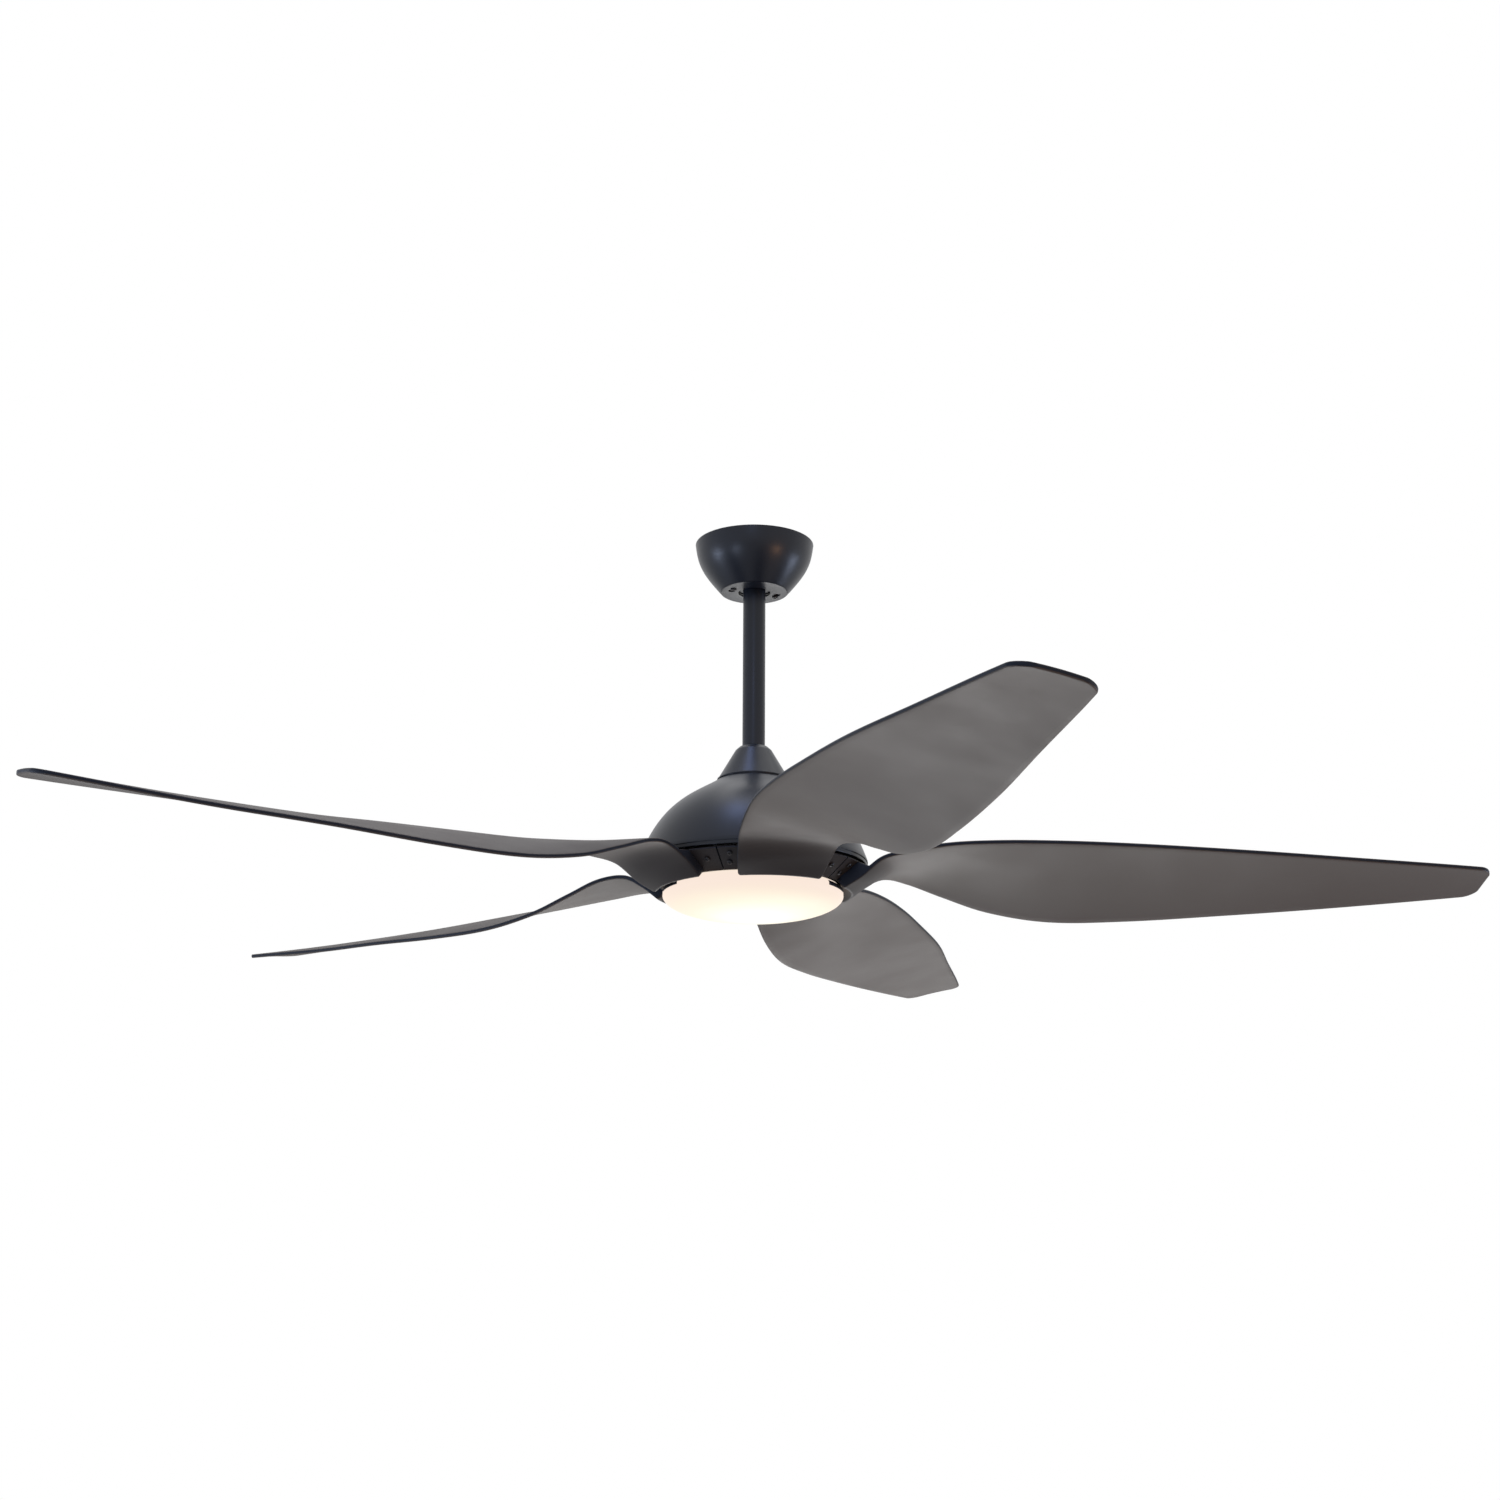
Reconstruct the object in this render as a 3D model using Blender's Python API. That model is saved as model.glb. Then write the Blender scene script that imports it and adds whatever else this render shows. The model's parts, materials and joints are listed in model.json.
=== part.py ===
"""Ceiling fan with light, 66 inch span, five blades, hung on a downrod from a ball joint.

Metres, +Z up. The origin is on the ceiling, at the middle of the hanger bracket's top face, so
the whole fan is below it. Hub heights are measured from the blade plane, on the spin axis.
"""

import math

import bmesh
import bpy
from mathutils import Matrix, Vector

MM = 0.001
GAP = 0.3 * MM  # between pieces that touch, and for every close fit
RUNNING_GAP = 1.0 * MM  # between spinning and standing pieces of the motor
ROUND = 24  # sides of a turned piece
BALL_ROUND = 32  # sides of the ball joint
WIDE_ROUND = 40  # sides of a wide turned piece that shows
SMALL_ROUND = 20  # sides of a pin, shaft or rod
CANOPY_ROUND = 36
SCREW_ROUND = 8

# ---- overall ----
BLADE_PLANE_DROP = 414 * MM  # ceiling to blade plane
TIP_RADIUS = 841 * MM
BLADES = 5

# ---- hanger ----
BRACKET_THICKNESS = 2.5 * MM
BRACKET_LENGTH = 118 * MM
BRACKET_WIDTH = 24 * MM
CEILING_SCREW_SPACING = 89 * MM  # the usual ceiling box
CEILING_SLOT_RADIUS = 2.6 * MM
BALL_RADIUS = 30 * MM
BALL_CENTRE_DROP = BALL_RADIUS + 5 * MM
BALL_TOP_RISE = 0.5 * BALL_RADIUS  # top flat above the ball's centre
BALL_FOOT_DROP = 0.753 * BALL_RADIUS
SEAT_THICKNESS = 2 * MM
SEAT_TOP_DROP = 0.4 * BALL_RADIUS  # upper edge of the seat below the ball's centre
SEAT_SWING = 9.5  # degrees that the seat can turn before it meets the canopy's floor
CANOPY_WALL = 1.5 * MM
CANOPY_DEPTH = BALL_CENTRE_DROP + 0.8 * BALL_RADIUS + 1.7 * MM
CANOPY_TO_CEILING = 0.5 * MM
CANOPY_RIM_RADIUS = BALL_RADIUS + 41.1 * MM
CANOPY_FOOT_RADIUS = BALL_RADIUS + 10 * MM
ROD_RADIUS = 13.35 * MM
ROD_WALL = 2.9 * MM
CANOPY_HOLE_RADIUS = ROD_RADIUS + 5.65 * MM  # lets the rod swing
CANOPY_SCREW_CIRCLE = BALL_RADIUS - 1.8 * MM
CANOPY_SCREW_ANGLES = (28, 208)
CANOPY_SCREW_RADIUS = 1.9 * MM
CANOPY_SCREW_HEAD = 3.6 * MM
KEYHOLE_TURN = 13  # degrees from a screw's place to its keyhole's wide end
PIN_RADIUS = 3 * MM
PIN_ROUND = 16
BALL_SCREW_HEIGHT = -2 * MM
SET_SCREW_RADIUS = 2.5 * MM
CABLE_RADIUS = 2.6 * MM
RECEIVER_LENGTH = 50 * MM
RECEIVER_DEPTH = 29 * MM
RECEIVER_THICKNESS = 18 * MM

# ---- motor and housing, heights above the blade plane ----
MOTOR_RADIUS = 90 * MM
ROTOR_WALL = 3 * MM
ROTOR_FOOT = 14.3 * MM
ROTOR_JOINT = 47 * MM
ROTOR_TOP = 80 * MM
SHAFT_RADIUS = 10 * MM
SHAFT_BORE = 6 * MM
SHAFT_COLLAR_RADIUS = 13 * MM
SHAFT_TOP = 123 * MM
SHAFT_FOOT = -14.5 * MM
BEARING_RADIUS = 17.6 * MM
BEARING_WIDTH = 8 * MM
CUP_FLOOR = 3.4 * MM  # of the lower bearing's cup
STATOR_FOOT = 34 * MM
STATOR_TOP = 60 * MM
STATOR_TEETH = 12
STATOR_SLOT = 4.4 * MM
WINDING_HEIGHT = 7.4 * MM
MAGNET_THICKNESS = 5 * MM
HOUSING_WALL = 1.5 * MM
HOUSING_RIM_RADIUS = MOTOR_RADIUS + 45.1 * MM
HOUSING_RIM_HEIGHT = 14 * MM
HOUSING_TOP_HEIGHT = 118.2 * MM
HOUSING_RECESS = 5 * MM
COVER_FOOT_RADIUS = ROD_RADIUS + 29.6 * MM
COVER_SHOULDER_RADIUS = ROD_RADIUS + 8.1 * MM
COVER_FOOT_HEIGHT = 119.6 * MM
COVER_SHOULDER_HEIGHT = 156 * MM
COVER_TOP_HEIGHT = 161 * MM
COVER_WALL = 1.5 * MM
YOKE_WALL = 5.4 * MM
YOKE_TOP = 150 * MM
YOKE_PIN_HEIGHT = 137 * MM
YOKE_SCREW_HEIGHT = 145 * MM
ROD_FOOT = 125 * MM
PLATE_THICKNESS = 3 * MM
HOUSING_SCREWS = 3
HOUSING_SCREW_START = 83

# ---- blade carrier and light ----
LAMP_RADIUS = MOTOR_RADIUS + 14.5 * MM
LAMP_SHOULDER = -10.8 * MM
LAMP_WIDEST = -19 * MM
LAMP_FOOT = -43.5 * MM
LAMP_WALL = 2.2 * MM
FLANGE_THICKNESS = 2.5 * MM
FLANGE_TOP = (HOUSING_RIM_RADIUS - 3.5 * MM, 11 * MM)
FLANGE_FOOT = (LAMP_RADIUS + 0.5 * MM, -9 * MM)
RING_WALL = 3 * MM
RING_WEB = (11 * MM, 14 * MM)
RING_BORE = MOTOR_RADIUS - 30 * MM
PAN_THICKNESS = 1.5 * MM
PAN_TOP = -6 * MM
PAN_FOOT = -14 * MM
PAN_RADIUS = LAMP_RADIUS - 8.5 * MM
BOARD_BORE = 22 * MM
BOARD_THICKNESS = 1.6 * MM
LUGS = 3
LUG_ANGLE = 16
LUG_REACH = 1.4 * MM
LUG_HEIGHT = 1.6 * MM
LAMP_SPARE = 0.3 * MM  # more room for the diffuser to turn over the lugs

# ---- blades ----
BLADE_THICKNESS = 4.8 * MM
BLADE_ROOT_RADIUS = FLANGE_FOOT[0] + 8 * MM
BLADE_CAMBER = 0.02  # rise of the middle over the chord
LEADING_TIP_CORNER = (14 * MM, 22 * MM)  # along the blade and across it
TRAILING_TIP_CORNER = (16 * MM, 20 * MM)
# Both edges of a blade, from root to tip: share of the way out, then angle from the blade's
# own spoke in degrees and height in millimetres, of the leading and of the trailing edge.
BLADE_EDGES = (
    (0.000, -26.5, -16.5, 23.4, -15.0),
    (0.029, -25.4, -5.0, 21.2, 1.5),
    (0.065, -23.9, 14.0, 18.6, 14.5),
    (0.109, -22.0, 20.5, 18.8, 11.5),
    (0.164, -19.8, 26.8, 17.0, -2.5),
    (0.237, -17.8, 28.0, 14.8, -20.0),
    (0.335, -15.0, 26.8, 12.3, -31.0),
    (0.458, -12.0, 23.4, 9.15, -30.7),
    (0.606, -9.5, 17.5, 6.35, -25.3),
    (0.778, -6.42, 12.6, 3.6, -19.0),
    (1.000, -3.75, 5.8, 1.5, -7.6),
)
BLADE_STEPS = (
    0, 0.012, 0.025, 0.042, 0.065, 0.09, 0.12, 0.16, 0.21, 0.27, 0.35, 0.45, 0.57, 0.7, 0.85,
)  # fmt: skip
TIP_STEPS = (0.0, 0.4, 0.7, 0.9, 1.0)  # shares of the trailing corner's depth
BLADE_ACROSS = 6
BLADE_SCREW_ANGLES = (-30, -31, 29)  # from the blade's spoke, in degrees
BLADE_SCREW_SHARES = (0.25, 0.65, 0.45)  # of the way down the flange
SCREW_HEAD_RADIUS = 3 * MM
SCREW_HEAD_HEIGHT = 1.6 * MM
SCREW_SHANK_RADIUS = 1.6 * MM

# ---- materials: colour, metallic, roughness ----
FINISHES = {
    "black_paint": ((0.028, 0.032, 0.042), 0.3, 0.38),
    "pewter_abs": ((0.145, 0.132, 0.128), 0.2, 0.45),
    "opal": ((0.95, 0.88, 0.78), 0.0, 0.4),
    "zinc_steel": ((0.55, 0.56, 0.58), 1.0, 0.35),
    "black_steel": ((0.03, 0.03, 0.035), 0.8, 0.4),
    "laminated_steel": ((0.30, 0.30, 0.32), 0.9, 0.5),
    "copper": ((0.72, 0.32, 0.14), 1.0, 0.35),
    "aluminium": ((0.70, 0.71, 0.73), 1.0, 0.4),
    "white_plastic": ((0.80, 0.80, 0.78), 0.0, 0.5),
    "nylon": ((0.75, 0.73, 0.66), 0.0, 0.5),
    "magnet": ((0.10, 0.10, 0.11), 0.4, 0.55),
    "cable": ((0.05, 0.05, 0.055), 0.0, 0.6),
}


# ---------------------------------------------------------------- tools
def clear_scene():
    for obj in list(bpy.data.objects):
        bpy.data.objects.remove(obj, do_unlink=True)


def finish(name):
    material = bpy.data.materials.get(name)
    if material is None:
        colour, metallic, roughness = FINISHES[name]
        material = bpy.data.materials.new(name)
        material.use_nodes = True
        shader = material.node_tree.nodes["Principled BSDF"]
        shader.inputs["Base Color"].default_value = (*colour, 1)
        shader.inputs["Metallic"].default_value = metallic
        shader.inputs["Roughness"].default_value = roughness
        material.diffuse_color = (*colour, 1)
    return material


def add_object(name, bm, material):
    """A mesh object from bm, its faces turned outwards and its round faces smooth."""
    bmesh.ops.recalc_face_normals(bm, faces=bm.faces)
    mesh = bpy.data.meshes.new(name)
    bm.to_mesh(mesh)
    bm.free()
    obj = bpy.data.objects.new(name, mesh)
    bpy.context.scene.collection.objects.link(obj)
    mesh.materials.append(finish(material))
    smooth(mesh)
    return obj


def smooth(mesh):
    mesh.shade_smooth()
    mesh.set_sharp_from_angle(angle=math.radians(32))


def add_empty(name, location, parent=None):
    empty = bpy.data.objects.new(name, None)
    empty.location = location
    empty.parent = parent
    bpy.context.scene.collection.objects.link(empty)
    return empty


def combine(target, tool, operation):
    """Cuts tool from target, or joins it on, and removes tool."""
    modifier = target.modifiers.new(operation, "BOOLEAN")
    modifier.object = tool
    modifier.operation = operation
    modifier.solver = "EXACT"
    bpy.context.view_layer.update()
    graph = bpy.context.evaluated_depsgraph_get()
    result = bpy.data.meshes.new_from_object(target.evaluated_get(graph))
    target.modifiers.remove(modifier)
    before = target.data
    target.data = result
    bpy.data.meshes.remove(before)
    bpy.data.objects.remove(tool, do_unlink=True)
    smooth(result)


def cut(target, *tools):
    for tool in tools:
        combine(target, tool, "DIFFERENCE")


def join(target, *tools):
    for tool in tools:
        combine(target, tool, "UNION")


def turned(name, outline, material="black_steel", steps=ROUND, start=0.0, sweep=360.0):
    """Outline, a closed list of (radius, height), turned about Z. Angles are in degrees."""
    bm = bmesh.new()
    turn = Matrix.Rotation(math.radians(start), 4, "Z")
    verts = [bm.verts.new(turn @ Vector((max(r, 0.0), 0.0, z))) for r, z in outline]
    edges = []
    for first, second in zip(verts, verts[1:] + verts[:1]):
        on_axis = first.co.xy.length < 1e-9 and second.co.xy.length < 1e-9
        if not on_axis:
            edges.append(bm.edges.new((first, second)))
    full = sweep >= 360.0
    bmesh.ops.spin(
        bm,
        geom=verts + edges,
        cent=(0, 0, 0),
        axis=(0, 0, 1),
        dvec=(0, 0, 0),
        angle=math.radians(sweep),
        steps=steps,
        use_merge=full,
        use_duplicate=False,
    )
    bmesh.ops.remove_doubles(bm, verts=bm.verts, dist=1e-6)
    if not full:
        open_edges = [edge for edge in bm.edges if edge.is_boundary]
        bmesh.ops.holes_fill(bm, edges=open_edges, sides=0)
    return add_object(name, bm, material)


def tube(name, inner, outer, low, high, material="black_steel", steps=ROUND):
    outline = [(inner, low), (outer, low), (outer, high), (inner, high)]
    return turned(name, outline, material, steps)


def cylinder(name, radius, low, high, material="black_steel", steps=SMALL_ROUND):
    return tube(name, 0.0, radius, low, high, material, steps)


def box(name, low, high, material="black_steel"):
    bm = bmesh.new()
    bmesh.ops.create_cube(bm, size=1.0)
    low, high = Vector(low), Vector(high)
    for vert in bm.verts:
        vert.co = [a + (c + 0.5) * (b - a) for a, b, c in zip(low, high, vert.co)]
    return add_object(name, bm, material)


def bevelled(obj, width, segments=2):
    """Rounds all sharp edges of a plain piece."""
    modifier = obj.modifiers.new("rounded", "BEVEL")
    modifier.width = width
    modifier.segments = segments
    modifier.limit_method = "ANGLE"
    modifier.angle_limit = math.radians(40)
    return obj


def drill(target, spots, radius, low, high, steps=SCREW_ROUND):
    """Cuts an upright hole at each spot, given as a point at height zero."""
    for spot in spots:
        hole = cylinder("hole", radius, low, high, steps=steps)
        hole.data.transform(Matrix.Translation(spot))
        cut(target, hole)


def aim(obj, origin, direction):
    """Turns a piece made along Z to lie along direction, with its zero at origin."""
    turn = Vector(direction).to_track_quat("Z", "Y").to_matrix().to_4x4()
    obj.data.transform(Matrix.Translation(origin) @ turn)
    return obj


def place(parent, *pieces):
    """Hangs pieces made in the parent's own frame on the parent."""
    for piece in pieces:
        piece.parent = parent


def polar(radius, angle, height=0.0):
    turn = math.radians(angle)
    return Vector((radius * math.cos(turn), radius * math.sin(turn), height))


def bezier(points, count):
    """Count + 1 points of the cubic curve through four control points."""
    curve = []
    for i in range(count + 1):
        t = i / count
        weights = ((1 - t) ** 3, 3 * (1 - t) ** 2 * t, 3 * (1 - t) * t**2, t**3)
        curve.append(tuple(sum(w * p[k] for w, p in zip(weights, points)) for k in (0, 1)))
    return curve


def inset(curve, distance):
    """An open curve of (radius, height) moved to its right-hand side by distance."""
    moved = []
    last = len(curve) - 1
    for i, point in enumerate(curve):
        before, after = Vector(curve[max(i - 1, 0)]), Vector(curve[min(i + 1, last)])
        along = (after - before).normalized()
        moved.append((point[0] + along.y * distance, point[1] - along.x * distance))
    return moved


def arc(radius, low, high, count, centre=0.0):
    """Points (radius, height) of a ball's outline between two heights from its centre."""
    first, last = math.asin(low / radius), math.asin(high / radius)
    angles = [first + (last - first) * i / count for i in range(count + 1)]
    return [(radius * math.cos(a), centre + radius * math.sin(a)) for a in angles]


def screw(name, head, shank, length, material="zinc_steel", head_height=SCREW_HEAD_HEIGHT):
    """A pan-head screw along Z: its head above zero, its shank below."""
    outline = [
        (0, -length),
        (shank, -length),
        (shank, 0),
        (head, 0),
        (head * 0.85, head_height),
        (0, head_height),
    ]
    return turned(name, outline, material, SCREW_ROUND)


# ---------------------------------------------------------------- hanger and canopy
def plate_foot():
    """Height of the bracket's bottom face, which the canopy's floor lies against."""
    return -CANOPY_DEPTH + CANOPY_WALL + GAP


def make_bracket():
    """Ceiling plate with two legs down to a ring that carries the ball's seat."""
    thick, half, reach = BRACKET_THICKNESS, BRACKET_WIDTH / 2, BRACKET_LENGTH / 2
    leg = BALL_RADIUS + SEAT_THICKNESS + 2.5 * MM
    foot = plate_foot()
    bracket = box("hanger_bracket", (-reach, -half, -thick), (reach, half, 0))
    bottom = cylinder("bottom", leg + thick, foot, foot + thick, steps=ROUND)
    legs = [
        box("leg", (min(x, x + side * thick), -half, foot + MM), (max(x, x + side * thick), half, -MM))
        for side, x in ((-1, -leg), (1, leg))
    ]
    join(bracket, *legs, bottom)
    seat = BALL_RADIUS + SEAT_THICKNESS + 2 * GAP
    bowl = arc(seat, -0.99 * seat, 0, 9)[1:]
    hollow = turned("hollow", [(0, -seat)] + bowl + [(seat, 2 * MM), (0, 2 * MM)], steps=BALL_ROUND)
    hollow.data.transform(Matrix.Translation((0, 0, -BALL_CENTRE_DROP)))
    throat = ROD_RADIUS + MM
    slot = box("slot", (-throat, 0, foot - MM), (throat, 2 * leg, foot + thick + MM))
    cut(bracket, hollow, slot)
    for side in (-1, 1):
        slot = cylinder("slot", CEILING_SLOT_RADIUS, -2 * thick, MM, steps=SCREW_ROUND)
        spot = (side * CEILING_SCREW_SPACING / 2, 0, 0)
        slot.data.transform(Matrix.Translation(spot) @ Matrix.Diagonal((2, 1, 1, 1)))
        cut(bracket, slot)
    spots = [polar(CANOPY_SCREW_CIRCLE, angle) for angle in CANOPY_SCREW_ANGLES]
    drill(bracket, spots, CANOPY_SCREW_RADIUS + GAP, foot - MM, foot + 2 * thick)
    return bracket


def canopy_curve():
    """The canopy's outside, from its rim down to its floor."""
    top, depth = -CANOPY_TO_CEILING, CANOPY_DEPTH
    middle = CANOPY_RIM_RADIUS - 3 * MM
    return bezier(
        (
            (CANOPY_RIM_RADIUS, top),
            (middle, -0.376 * depth),
            (middle - 2.4 * MM, -0.506 * depth),
            (CANOPY_FOOT_RADIUS, -depth),
        ),
        7,
    )


def make_canopy():
    """Cup whose floor hangs on two screws in keyholes, with a hole the rod can swing in."""
    outside = canopy_curve()
    wall = inset(outside, CANOPY_WALL)
    floor = -CANOPY_DEPTH + CANOPY_WALL
    inside = [(CANOPY_RIM_RADIUS - CANOPY_WALL, -CANOPY_TO_CEILING)]
    inside += [point for point in wall[2::2] if point[1] > floor + MM]
    corner = (wall[-1][0] - 0.5 * MM, floor)
    hole = CANOPY_HOLE_RADIUS
    outline = outside + [(hole, -CANOPY_DEPTH), (hole, floor), corner] + inside[::-1]
    canopy = turned("canopy", outline, "black_paint", CANOPY_ROUND)
    low, high = -CANOPY_DEPTH - MM, floor + MM
    narrow = [polar(CANOPY_SCREW_CIRCLE, angle) for angle in CANOPY_SCREW_ANGLES]
    wide = [polar(CANOPY_SCREW_CIRCLE, angle + KEYHOLE_TURN) for angle in CANOPY_SCREW_ANGLES]
    drill(canopy, narrow, CANOPY_SCREW_RADIUS + 0.4 * MM, low, high)
    drill(canopy, wide, CANOPY_SCREW_HEAD + 0.6 * MM, low, high, SMALL_ROUND)
    return canopy


def make_canopy_screws():
    screws = []
    for i, angle in enumerate(CANOPY_SCREW_ANGLES, 1):
        length = CANOPY_WALL + BRACKET_THICKNESS + MM
        piece = screw(f"canopy_screw_{i}", CANOPY_SCREW_HEAD, CANOPY_SCREW_RADIUS, length)
        piece.data.transform(Matrix.Rotation(math.pi, 4, "X"))
        piece.location = polar(CANOPY_SCREW_CIRCLE, angle, -CANOPY_DEPTH - GAP)
        screws.append(piece)
    return screws


def make_ball_seat():
    inner, outer = BALL_RADIUS + GAP, BALL_RADIUS + GAP + SEAT_THICKNESS
    lowest = math.asin((BALL_CENTRE_DROP + plate_foot()) / outer)
    foot = outer * math.sin(lowest + math.radians(SEAT_SWING))
    outline = arc(outer, foot, -SEAT_TOP_DROP, 3) + arc(inner, foot, -SEAT_TOP_DROP, 3)[::-1]
    return turned("ball_seat", outline, "nylon", BALL_ROUND)


def make_ball():
    """The hanger ball, with a groove on top for its cross pin and a hole for its set screw."""
    bore = ROD_RADIUS + GAP
    side = arc(BALL_RADIUS, -BALL_FOOT_DROP, BALL_TOP_RISE, 8)
    outline = [(bore, -BALL_FOOT_DROP)] + side + [(bore, BALL_TOP_RISE)]
    ball = turned("hanger_ball", outline, "black_paint", BALL_ROUND)
    groove, wide, top = PIN_RADIUS + GAP, 2 * BALL_RADIUS, BALL_TOP_RISE
    cut(ball, box("groove", (-wide, -groove, top - PIN_RADIUS), (wide, groove, top + PIN_RADIUS)))
    hole = cylinder("hole", SET_SCREW_RADIUS + GAP, 0, wide, steps=SCREW_ROUND)
    cut(ball, aim(hole, (0, 0, BALL_SCREW_HEIGHT), (0, -1, 0)))
    return ball


def ball_pin_height():
    """Height of the cross pin's middle above the ball's centre."""
    return BALL_TOP_RISE + GAP


def make_rod():
    """Downrod from above the ball to the yoke, in the frame of the ball's centre."""
    top = ball_pin_height() + 6 * MM
    foot = ROD_FOOT - BLADE_PLANE_DROP + BALL_CENTRE_DROP
    rod = tube("downrod", ROD_RADIUS - ROD_WALL, ROD_RADIUS, foot, top, "black_paint", SMALL_ROUND)
    for height in (ball_pin_height(), YOKE_PIN_HEIGHT - BLADE_PLANE_DROP + BALL_CENTRE_DROP):
        hole = cylinder("hole", PIN_RADIUS + GAP, -2 * ROD_RADIUS, 2 * ROD_RADIUS, steps=PIN_ROUND)
        cut(rod, aim(hole, (0, 0, height), (1, 0, 0)))
    return rod


def make_pin(name, half_length, height):
    pin = cylinder(name, PIN_RADIUS, -half_length, half_length, "zinc_steel", PIN_ROUND)
    return aim(pin, (0, 0, height), (1, 0, 0))


def make_set_screw(name, start, end, height):
    piece = cylinder(name, SET_SCREW_RADIUS, start, end, "zinc_steel", SCREW_ROUND)
    return aim(piece, (0, 0, height), (0, -1, 0))


def make_receiver():
    """The remote control's receiver and the terminal block, beside the bracket's legs."""
    near, edge = BALL_RADIUS + 3 * MM, BRACKET_WIDTH / 2
    half, thick = RECEIVER_LENGTH / 2, RECEIVER_THICKNESS
    body_low, body_high = (-half, near, -RECEIVER_DEPTH), (half, near + thick, -2 * MM)
    receiver = box("receiver_box", body_low, body_high, "white_plastic")
    join(receiver, box("tab", (-8 * MM, edge + GAP, -4 * MM), (8 * MM, near + 4 * MM, -GAP)))
    top = -BRACKET_THICKNESS - GAP
    block_low, block_high = (-14 * MM, 2 * MM - edge, top - 6 * MM), (14 * MM, 9 * MM - edge, top)
    block = box("terminal_block", block_low, block_high, "white_plastic")
    return receiver, bevelled(block, 0.6 * MM, 1)


# ---------------------------------------------------------------- housing and yoke
def housing_curve():
    """The housing's outside, from its neck down to its rim."""
    neck = COVER_FOOT_RADIUS
    flare = HOUSING_RIM_RADIUS - neck
    return bezier(
        (
            (neck, HOUSING_TOP_HEIGHT),
            (neck + 0.325 * flare, HOUSING_TOP_HEIGHT - 20.5 * MM),
            (neck + 0.742 * flare, HOUSING_TOP_HEIGHT - 27.8 * MM),
            (HOUSING_RIM_RADIUS, HOUSING_RIM_HEIGHT),
        ),
        8,
    )


def recess_floor():
    return HOUSING_TOP_HEIGHT - HOUSING_RECESS


def plate_top():
    return recess_floor() - HOUSING_WALL - GAP


def housing_neck():
    """Radius of the recess in the housing's top."""
    return COVER_FOOT_RADIUS - 1.2 * MM


def make_housing():
    outside = housing_curve()
    inside = inset(outside, HOUSING_WALL)[::2]
    inside[-1] = (HOUSING_RIM_RADIUS - HOUSING_WALL, HOUSING_RIM_HEIGHT)
    floor = recess_floor()
    inside = [point for point in inside if point[1] < floor - HOUSING_WALL - MM]
    bore = housing_bore()
    outline = (
        outside
        + inside[::-1]
        + [(housing_neck() + 3 * MM, floor - HOUSING_WALL), (bore, floor - HOUSING_WALL)]
        + [(bore, floor), (housing_neck(), floor), (housing_neck(), HOUSING_TOP_HEIGHT)]
    )
    housing = turned("upper_housing", outline, "black_paint", WIDE_ROUND)
    low, high = floor - 2 * HOUSING_WALL, floor + MM
    drill(housing, housing_screw_spots(), SCREW_SHANK_RADIUS + GAP, low, high)
    return housing


def housing_bore():
    """Radius of the hole in the recess's floor, around the yoke's foot."""
    return ROD_RADIUS + YOKE_WALL + 12 * MM


def housing_screw_spots():
    circle = (housing_neck() + housing_bore()) / 2
    turns = [HOUSING_SCREW_START + 360 * i / HOUSING_SCREWS for i in range(HOUSING_SCREWS)]
    return [polar(circle, turn) for turn in turns]


def make_housing_plate():
    """Disc on the shaft that the housing hangs on."""
    top = plate_top()
    low = top - PLATE_THICKNESS
    plate = tube("housing_plate", SHAFT_RADIUS + GAP, housing_neck(), low, top, "zinc_steel")
    drill(plate, housing_screw_spots(), SCREW_SHANK_RADIUS + GAP, low - MM, top + MM)
    return plate


def make_housing_screws():
    screws = []
    for i, spot in enumerate(housing_screw_spots(), 1):
        piece = screw(f"housing_screw_{i}", SCREW_HEAD_RADIUS, SCREW_SHANK_RADIUS, 6 * MM)
        piece.location = spot + Vector((0, 0, recess_floor() + GAP))
        screws.append(piece)
    return screws


def make_yoke():
    """Cup that takes the downrod, screwed to the top of the motor's hollow shaft."""
    foot = plate_top() + GAP
    outer = ROD_RADIUS + YOKE_WALL
    outline = [
        (SHAFT_RADIUS + GAP, foot),
        (outer + 8 * MM, foot),
        (outer + 8 * MM, foot + 3.5 * MM),
        (outer, foot + 6 * MM),
        (outer, YOKE_TOP),
        (ROD_RADIUS + GAP, YOKE_TOP),
        (ROD_RADIUS + GAP, ROD_FOOT - GAP),
        (SHAFT_RADIUS + GAP, ROD_FOOT - GAP),
    ]
    yoke = turned("motor_yoke", outline, "black_steel", SMALL_ROUND)
    cross = cylinder("cross", PIN_RADIUS + GAP, -2 * outer, 2 * outer, steps=PIN_ROUND)
    threaded = cylinder("threaded", SET_SCREW_RADIUS + GAP, 0, 2 * outer, steps=SCREW_ROUND)
    cut(yoke, aim(cross, (0, 0, YOKE_PIN_HEIGHT), (1, 0, 0)))
    cut(yoke, aim(threaded, (0, 0, YOKE_SCREW_HEIGHT), (0, -1, 0)))
    return yoke


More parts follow.
